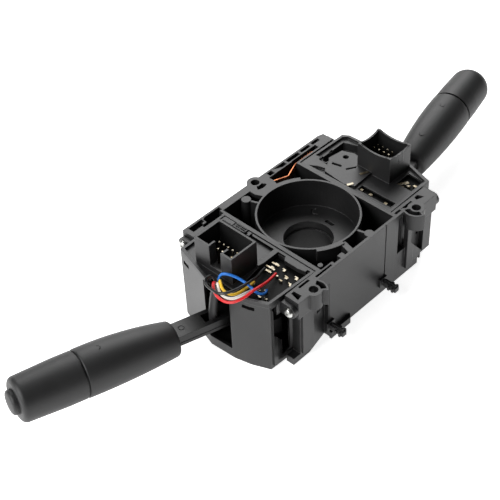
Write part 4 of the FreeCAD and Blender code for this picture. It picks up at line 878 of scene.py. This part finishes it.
@dataclass
class GripSleeves:
    """The swelling sleeves over the levers, each with a square socket for its arm.

    Sizes along X are distances from the lever's pivot.
    """

    mouth: float = 56.2
    end: float = 115.25
    sections: tuple[Flat, ...] = ((60.85, 11.4), (90.85, 14.2), (115.25, 14.5))
    droop: float = 2.4
    droop_span: float = 54.4
    lip: float = 1.3
    edge: float = 0.9
    bend_steps: int = 5
    spigot: float = 1.1
    spigot_inset: float = 1.3
    socket_half: float = 6.18
    socket_low: float = -4.83
    socket_high: float = 2.63
    socket_depth: float = 5.0
    sides: int = 96
    steps: int = 28
    smooth: float = 40.0
    mark_radius: float = 1.5
    mark_tube: float = 0.26
    mark_sink: float = 0.08
    mark_steps: int = 14
    mark_sides: int = 8
    marks: tuple[tuple[str, tuple[float, ...]], ...] = (("left", (103.3,)), ("right", (72.7, 102.5)))

    def radius(self, x: float) -> float:
        """The sleeve's radius, on a curve through its three sections.

        Args:
            x: The distance from the pivot.

        Returns:
            The radius there.
        """
        total = 0.0
        for at, share in self.sections:
            for away, _ in self.sections:
                if away != at:
                    share *= (x - away) / (at - away)
            total += share
        return total

    def drop(self, x: float) -> float:
        """How far the section's centre lies below the lever's axis."""
        return self.droop * ((self.end - x) / self.droop_span) ** 2

    def ring(self, shape: BMesh, x: float, inset: float) -> list[BMVert]:
        """A round section.

        Args:
            shape: The bmesh to add to.
            x: Its distance from the pivot.
            inset: How far it lies inside the sleeve's skin.

        Returns:
            Its vertices in order.
        """
        reach, drop = self.radius(x) - inset, self.drop(x)
        ways = circle(self.sides, 0.5)
        return [shape.verts.new((x * MM, reach * y * MM, (reach * z - drop) * MM)) for y, z in ways]

    def bend(self, shape: BMesh, face: float, size: float, step: int) -> list[BMVert]:
        """A section on the rounded edge of an end face.

        Args:
            shape: The bmesh to add to.
            face: Where the end face lies.
            size: The edge's radius, below 0 where the sleeve lies on the pivot's side of the face.
            step: The section's place, from 0 on the skin to bend_steps on the face.

        Returns:
            Its vertices in order.
        """
        turn = math.pi / 2 * step / self.bend_steps
        return self.ring(shape, face + size * (1 - math.sin(turn)), abs(size) * (1 - math.cos(turn)))

    def square(self, shape: BMesh, x: float) -> list[BMVert]:
        """A section of the square socket with as many vertices as a round one.

        Args:
            shape: The bmesh to add to.
            x: Its distance from the pivot.

        Returns:
            Its vertices in order.
        """
        middle = (self.socket_low + self.socket_high) / 2
        half = (self.socket_high - self.socket_low) / 2
        ring = []
        for y, z in circle(self.sides, 0.5):
            reach = min(self.socket_half / max(abs(y), 1e-9), half / max(abs(z), 1e-9))
            ring.append(shape.verts.new((x * MM, y * reach * MM, (middle + z * reach) * MM)))
        return ring

    def skin(self) -> BMesh:
        """The whole sleeve along X.

        Returns:
            A closed bmesh in metres.
        """
        shape = bmesh.new()
        rings = [self.square(shape, self.mouth + self.socket_depth), self.square(shape, self.mouth)]
        rings += [self.bend(shape, self.mouth, self.lip, step) for step in range(self.bend_steps, -1, -1)]
        first, last = self.mouth + self.lip, self.end - self.edge
        for step in range(1, self.steps + 1):
            rings.append(self.ring(shape, first + (last - first) * step / self.steps, 0.0))
        rings += [self.bend(shape, self.end, -self.edge, step) for step in range(1, self.bend_steps + 1)]
        rings += [self.ring(shape, self.end + reach, self.spigot_inset) for reach in (0.0, self.spigot)]
        loft(shape, rings)
        return shape

    def mark(self, shape: BMesh, x: float) -> None:
        """Adds a raised half ring to the top of the skin.

        Args:
            shape: The bmesh to add to.
            x: The mark's distance from the pivot.
        """
        crest = self.radius(x) - self.drop(x) - self.mark_sink
        rings = []
        for step in range(self.mark_steps + 1):
            way = math.radians(90 + 180 * step / self.mark_steps)
            ring = []
            for out, up in circle(self.mark_sides):
                reach = self.mark_radius + self.mark_tube * out
                place = (x + reach * math.cos(way), reach * math.sin(way), crest + self.mark_tube * up)
                ring.append(shape.verts.new(Vector(place) * MM))
            rings.append(ring)
        loft(shape, rings)

    def build(self) -> None:
        """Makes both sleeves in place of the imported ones."""
        for lever in LEVERS:
            shape = self.skin()
            for x in dict(self.marks)[lever.side]:
                self.mark(shape, x)
            bmesh.ops.transform(shape, matrix=lever.place(), verts=shape.verts)
            name = f"{lever.side}_soft_grip"
            piece = new_piece(name, mesh_of(name, shape, self.smooth))
            fit(piece, GRIP, lever.body, "grip_plastic", f"{lever.side}_grip_sleeve")


@dataclass
class HornButton:
    """The domed button in the end of the left knob."""

    radius: float = 7.42
    foot: float = 149.2
    end: float = 157.7
    rounding: float = 2.0
    dome: float = 0.5
    bend_steps: int = 6
    dome_steps: int = 4
    sides: int = 64
    smooth: float = 40.0

    def build(self) -> None:
        """Turns the button and sets it in its knob."""
        shoulder = self.end - self.dome - self.rounding
        profile = [(self.foot, 0.0), (self.foot, self.radius), (shoulder, self.radius)]
        for step in range(1, self.bend_steps + 1):
            bend = math.pi / 2 * step / self.bend_steps
            inward = self.rounding * (1 - math.cos(bend))
            profile.append((shoulder + self.rounding * math.sin(bend), self.radius - inward))
        flat = self.radius - self.rounding
        for step in range(1, self.dome_steps + 1):
            share = 1 - step / self.dome_steps
            profile.append((self.end - self.dome * share**2, flat * share))
        shape = lathe(profile, self.sides)
        bmesh.ops.transform(shape, matrix=LEVERS[0].place(), verts=shape.verts)
        piece = new_piece("horn_cap", mesh_of("horn_cap", shape, self.smooth))
        fit(piece, GRIP, Body.HORN_BUTTON, "grip_plastic", "horn_button")


@dataclass
class LidWell:
    """The deep pocket behind the right connector, sunk through the lid and its board."""

    outline: tuple[Flat, ...] = (
        (46.8, 26.9), (46.6, 29.2), (48.4, 30.6), (68.4, 30.6), (71.8, 21.3), (71.0, 14.7), (71.6, 8.9),
        (57.0, 8.9), (61.9, 13.2), (62.6, 16.3), (59.6, 24.5),
    )
    wall: float = 0.8
    floor: float = 45.6
    plate_low: float = 50.5
    lid_top: float = 53.5
    keyway: tuple[float, float, float, float, float] = (63.2, -17.46, 67.9, -15.95, 62.0)
    shroud: tuple[float, float, float, float] = (54.5, -17.5, 76.5, 8.5)
    shroud_top: float = 70.5
    dip: float = 1.7
    bow: float = 0.7
    corner: float = 2.6
    steps: int = 12
    spare: float = 0.2
    hair: float = 0.02
    clear: float = 1.0
    key_drop: float = 0.05
    board_gap: float = 0.1
    board_low: float = 40.0
    board_high: float = 50.0

    def wave(self, low: float, high: float) -> list[Flat]:
        """The outline of a shallow dip in a rim.

        Args:
            low: Where the wall begins, in millimetres.
            high: Where it ends.

        Returns:
            Corners of a closed outline: along the wall, and up.
        """
        first, last, above = low + self.corner, high - self.corner, self.shroud_top + self.clear
        outline = [(first, above)]
        for step in range(self.steps + 1):
            share = step / self.steps
            sag = self.dip * math.sin(math.pi * share) ** self.bow
            outline.append((first + (last - first) * share, self.shroud_top + self.hair - sag))
        return [*outline, (last, above)]

    def rim_cuts(self) -> list[Mesh]:
        """The tools that dip the rims of the connector's shroud.

        Returns:
            One closed mesh along each of its two directions.
        """
        x0, y0, x1, y1 = self.shroud
        along = side_prism(self.wave(x0, x1), y0 - self.clear, y1 + self.clear)
        across = side_prism(self.wave(y0, y1), -x1 - self.clear, -x0 + self.clear)
        across.transform(Matrix.Rotation(math.radians(90), 4, "Z"))
        return [along, across]

    def build(self) -> None:
        """Carves copies of the lid and the board and adds the pocket's walls."""
        lid = copy_of_node("right_lid_with_well", "right_switch_lid")
        hole = prism(self.outline, self.plate_low - self.spare, self.lid_top + self.spare)
        subtract(lid, [hole, *self.rim_cuts()])
        x0, y0, x1, y1, low = self.keyway
        key = new_piece("key", box(x0, y0, low, x1, y1, self.shroud_top - self.key_drop))
        subtract(key, self.rim_cuts())
        outside = prism(grown(self.outline, self.wall), self.floor - self.wall, self.plate_low)
        inside = prism(grown(self.outline, self.hair), self.floor, self.plate_low + self.spare)
        tray = new_piece("well", outside)
        subtract(tray, [inside])
        absorb(lid, (tray, key))
        fit(lid, LID, Body.HOUSING, "lid_plastic", "right_switch_lid")
        board = copy_of_node("right_cut_board", "right_contact_board")
        room = grown(self.outline, self.wall + self.board_gap)
        subtract(board, [prism(room, self.board_low, self.board_high)])
        fit(board, BOARD, Body.HOUSING, "board_laminate", "right_contact_board")


@dataclass
class HousingCarving:
    """Pockets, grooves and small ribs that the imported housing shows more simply."""

    cuts: tuple[Box, ...] = (
        (-45.8, 38.2, 30.0, -33.4, 43.4, 55.0),
        (-57.2, 39.8, 30.0, -48.4, 44.2, 55.0),
        (31.3, -44.8, 4.0, 35.7, -41.98, 54.5),
        (34.0, -45.0, 22.6, 41.4, -37.8, 51.6),
        (-61.0, -45.0, 5.0, -54.4, -33.0, 40.6),
    )
    hollow: tuple[Flat, ...] = ((-46.0, -43.0), (-46.0, -41.9), (-29.3, -38.3), (-29.3, -43.0))
    hollow_low: float = -0.2
    hollow_high: float = 40.6
    slant: tuple[Flat, ...] = ((44.8, 36.0), (57.2, 28.6), (57.2, 10.6), (44.8, 26.0))
    slant_front: float = -46.0
    slant_back: float = -40.4
    fillers: tuple[Box, ...] = (
        (35.0, -41.95, 11.0, 41.7, -37.8, 22.7),
        (47.0, -43.96, 8.6, 54.4, -37.8, 40.4),
        (-16.2, 38.8, 2.2, -14.6, 41.2, 53.8),
    )

    def slanted(self) -> Mesh:
        """The slanted pocket below the right front boss."""
        return side_prism(self.slant, self.slant_front, self.slant_back)

    def build(self) -> None:
        """Carves a copy of the housing and adds the ribs."""
        housing = copy_of_node("carved_housing", "column_housing")
        tools = [box(*corners) for corners in self.cuts]
        tools.append(prism(self.hollow, self.hollow_low, self.hollow_high))
        subtract(housing, [*tools, self.slanted()])
        fillers = [new_piece("filler", box(*corners)) for corners in self.fillers]
        for filler in fillers:
            subtract(filler, [self.slanted()])
        absorb(housing, fillers)
        fit(housing, HOUSING, Body.HOUSING, "housing_plastic", "column_housing")


@dataclass
class CaseOpening:
    """The dark opening in the front wall of the left case, round its screw ear."""

    outline: tuple[Flat, ...] = (
        (-69.4, 48.4), (-65.5, 48.4), (-65.5, 41.2), (-55.4, 41.2), (-55.4, 6.0), (-62.3, 6.0),
        (-62.3, 18.0), (-69.4, 28.0),
    )
    front: float = -37.0
    back: float = -32.2

    def build(self) -> None:
        """Cuts the opening into a copy of the case."""
        case = copy_of_node("left_open_case", "left_switch_case")
        subtract(case, [side_prism(self.outline, self.front, self.back)])
        fit(case, CASE, Body.HOUSING, "case_plastic", "left_switch_case")


@dataclass
class LatchStrip:
    """The strip with its latch on the inner rim of the left lid."""

    low: float = 53.3
    rounding: float = 0.18
    bars: tuple[tuple[float, float, float, float, float], ...] = (
        (-37.9, 26.6, -34.8, 35.0, 54.1),
        (-38.3, 17.0, -37.4, 26.0, 54.5),
        (-36.6, 17.0, -35.9, 25.2, 54.3),
        (-35.2, 17.4, -34.5, 26.0, 54.5),
        (-38.3, 16.4, -34.5, 17.4, 54.3),
        (-38.3, 21.2, -34.5, 22.0, 54.2),
        (-38.6, 12.4, -35.2, 14.6, 54.4),
    )

    def build(self) -> None:
        """Sets the bars with softened edges."""
        rows = []
        for x0, y0, x1, y1, top in self.bars:
            middle = ((x0 + x1) / 2, (y0 + y1) / 2, (self.low + top) / 2)
            rows.append((middle, (x1 - x0, y1 - y0, top - self.low), 0.0))
        fit(blocks("left_latch_strip", rows, self.rounding), LID, Body.HOUSING, "lid_plastic")


@dataclass
class ContactLeaves:
    """Flat contact ends in and on the right lid, and on the left contact board.

    Each leaf has the place of its underside's middle, its length and width, and its turn in degrees.
    """

    thickness: float = 0.35
    rounding: float = 0.08
    leaves: tuple[Box, ...] = (
        (51.4, -0.6, 53.5, 6.0, 1.9, -24.0),
        (37.3, -1.1, 53.5, 4.4, 1.9, -28.0),
        (59.4, -22.6, 51.3, 5.2, 2.0, -20.0),
        (63.2, -24.6, 50.9, 3.2, 2.2, -20.0),
        (54.2, 14.0, 50.2, 3.0, 1.6, 20.0),
        (42.2, 15.2, 50.2, 2.2, 1.6, -60.0),
        (-50.5, -14.1, 51.3, 1.2, 5.0, 0.0),
        (-47.5, -13.3, 51.3, 1.2, 6.6, 2.0),
        (-43.5, -13.7, 51.3, 1.2, 5.4, 1.0),
        (-44.0, -20.8, 51.0, 1.5, 1.5, 8.0),
        (-47.6, -25.8, 51.0, 1.9, 1.9, 8.0),
        (-44.5, -30.7, 51.0, 1.7, 1.7, 8.0),
        (-50.4, -31.1, 51.0, 2.4, 1.1, 30.0),
    )

    def build(self) -> None:
        """Sets each leaf, with softened edges, on the housing's body."""
        thick = self.thickness
        rows = []
        for x, y, z, length, width, turn in self.leaves:
            rows.append(((x, y, z + thick / 2), (length, width, thick), turn))
        fit(blocks("contact_leaves", rows, self.rounding), TIN, Body.HOUSING, "tinned_tabs")


@dataclass
class SolderBeads:
    """Beads of solder over the tabs of the left contact board."""

    radius: float = 0.62
    height: float = 49.9
    least: Point = (0.8, 0.8, 0.7)
    most: Point = (1.25, 1.25, 1.0)
    seed: int = 7
    places: tuple[Flat, ...] = (
        (-50.2, -11.0), (-48.9, -14.0), (-45.6, -13.2), (-42.0, -13.4), (-42.6, -19.6), (-46.2, -24.4),
        (-42.9, -29.2), (-49.2, -29.8), (-49.2, -19.6), (-50.6, -24.0), (-62.5, -14.4), (-68.0, -24.0),
        (-66.8, -27.6), (-62.4, -23.6), (-64.4, -20.2),
    )

    def build(self) -> None:
        """Scatters one bead on each tab, each a little different."""
        recipe = Recipe("solder_beads")
        size = recipe.ask("Bead Radius", "NodeSocketFloat")
        seed = recipe.ask("Seed", "NodeSocketInt")
        bead = recipe.step("GeometryNodeMeshUVSphere", Segments=14, Rings=8, Radius=size)
        smooth = recipe.step("GeometryNodeSetShadeSmooth", Geometry=bead.outputs["Mesh"])
        vary = recipe.tree.nodes.new("FunctionNodeRandomValue")
        vary.data_type = "FLOAT_VECTOR"
        recipe.feed(vary, Min=self.least, Max=self.most, Seed=seed)
        recipe.scatter(material_of(TIN), Instance=smooth.outputs[0], Scale=vary.outputs["Value"])
        places = [(x, y, self.height) for x, y in self.places]
        values = {"Bead Radius": self.radius * MM, "Seed": self.seed}
        piece = recipe.bake("solder_beads", places, values)
        fit(piece, TIN, Body.HOUSING, "tinned_tabs")


@dataclass
class Studio:
    """Pale floor, soft lights and the camera at the photograph's angle."""

    azimuth: float = -44.09
    elevation: float = 42.80
    roll: float = -3.15
    focal_px: float = 1181.76
    distance: float = 738.27
    target: Point = (-19.25, 31.91, 17.79)
    sensor: float = 36.0
    frame_px: float = 500.0
    clip: Flat = (0.01, 20.0)
    sky: float = 0.09
    floor_half: float = 30.0
    floor_drop: float = 0.0003
    floor_tone: float = 0.93
    floor_glow: float = 0.84
    aim: Point = (0.0, 0.0, 0.03)
    lamps: tuple[tuple[str, Point, float, float], ...] = (
        ("left_box", (-1.1, 0.25, 0.75), 0.9, 18.0),
        ("back_box", (0.66, 0.69, 0.9), 1.1, 17.0),
    )

    def camera(self) -> None:
        """Sets the camera from its angles about the target."""
        turn, lift = math.radians(self.azimuth), math.radians(self.elevation)
        back = Vector((math.sin(turn) * math.cos(lift), -math.cos(turn) * math.cos(lift), math.sin(lift)))
        right = Vector((math.cos(turn), math.sin(turn), 0.0))
        up = right.cross(-back)
        roll = math.radians(self.roll)
        side = right * math.cos(roll) + up * math.sin(roll)
        top = up * math.cos(roll) - right * math.sin(roll)
        data = bpy.data.cameras.new("photo_camera")
        data.sensor_width = self.sensor
        data.lens = self.sensor * self.focal_px / self.frame_px
        data.clip_start, data.clip_end = self.clip
        made = bpy.data.objects.new("photo_camera", data)
        bpy.context.scene.collection.objects.link(made)
        axes = Matrix((side, top, back)).transposed()
        place = Vector(self.target) * MM + back * self.distance * MM
        made.matrix_world = Matrix.Translation(place) @ axes.to_4x4()
        bpy.context.scene.camera = made

    def lamp(self, name: str, place: Point, size: float, power: float) -> None:
        """Adds one square soft light that faces the switch.

        Args:
            name: The light's name.
            place: Where it hangs, in metres.
            size: Its side, in metres.
            power: Its strength, in watts.
        """
        data = bpy.data.lights.new(name, "AREA")
        data.size, data.energy = size, power
        made = bpy.data.objects.new(name, data)
        bpy.context.scene.collection.objects.link(made)
        made.location = place
        made.rotation_mode = "QUATERNION"
        made.rotation_quaternion = (Vector(self.aim) - Vector(place)).to_track_quat("-Z", "Y")

    def floor(self) -> None:
        """Lays a wide pale floor under the switch."""
        shape = bmesh.new()
        bmesh.ops.create_grid(shape, x_segments=1, y_segments=1, size=self.floor_half)
        floor = new_piece("studio_floor", mesh_of("studio_floor", shape))
        floor.location.z = -self.floor_drop
        material, graph, shader = blank_material("pale_floor")
        graph.feed(
            shader,
            Base_Color=(self.floor_tone, self.floor_tone, self.floor_tone, 1),
            Roughness=0.9,
            Specular_IOR_Level=0.1,
            Emission_Color=(1, 1, 1, 1),
            Emission_Strength=self.floor_glow,
        )
        floor.data.materials.append(material)

    def light(self) -> None:
        """Sets the sky and the lights."""
        world = bpy.data.worlds.new("studio_sky")
        world.use_nodes = True
        sky = world.node_tree.nodes["Background"]
        Graph(world.node_tree).feed(sky, Color=(1, 1, 1, 1), Strength=self.sky)
        bpy.context.scene.world = world
        for lamp in self.lamps:
            self.lamp(*lamp)
        bpy.context.scene.view_settings.view_transform = "Standard"

    def build(self) -> None:
        """Sets up the whole studio."""
        self.camera()
        self.floor()
        self.light()
        log.info("studio ready")


def main() -> None:
    """Builds the looks in order."""
    logging.basicConfig(level=logging.INFO, format="%(name)s: %(message)s")
    Studio().build()
    WireLoom().build()
    CadDress().dress()
    CaseScrews().build()
    SolderBeads().build()
    GripSleeves().build()
    HornButton().build()
    LidWell().build()
    HousingCarving().build()
    CaseOpening().build()
    LatchStrip().build()
    ContactLeaves().build()


if __name__ == "__main__":
    main()
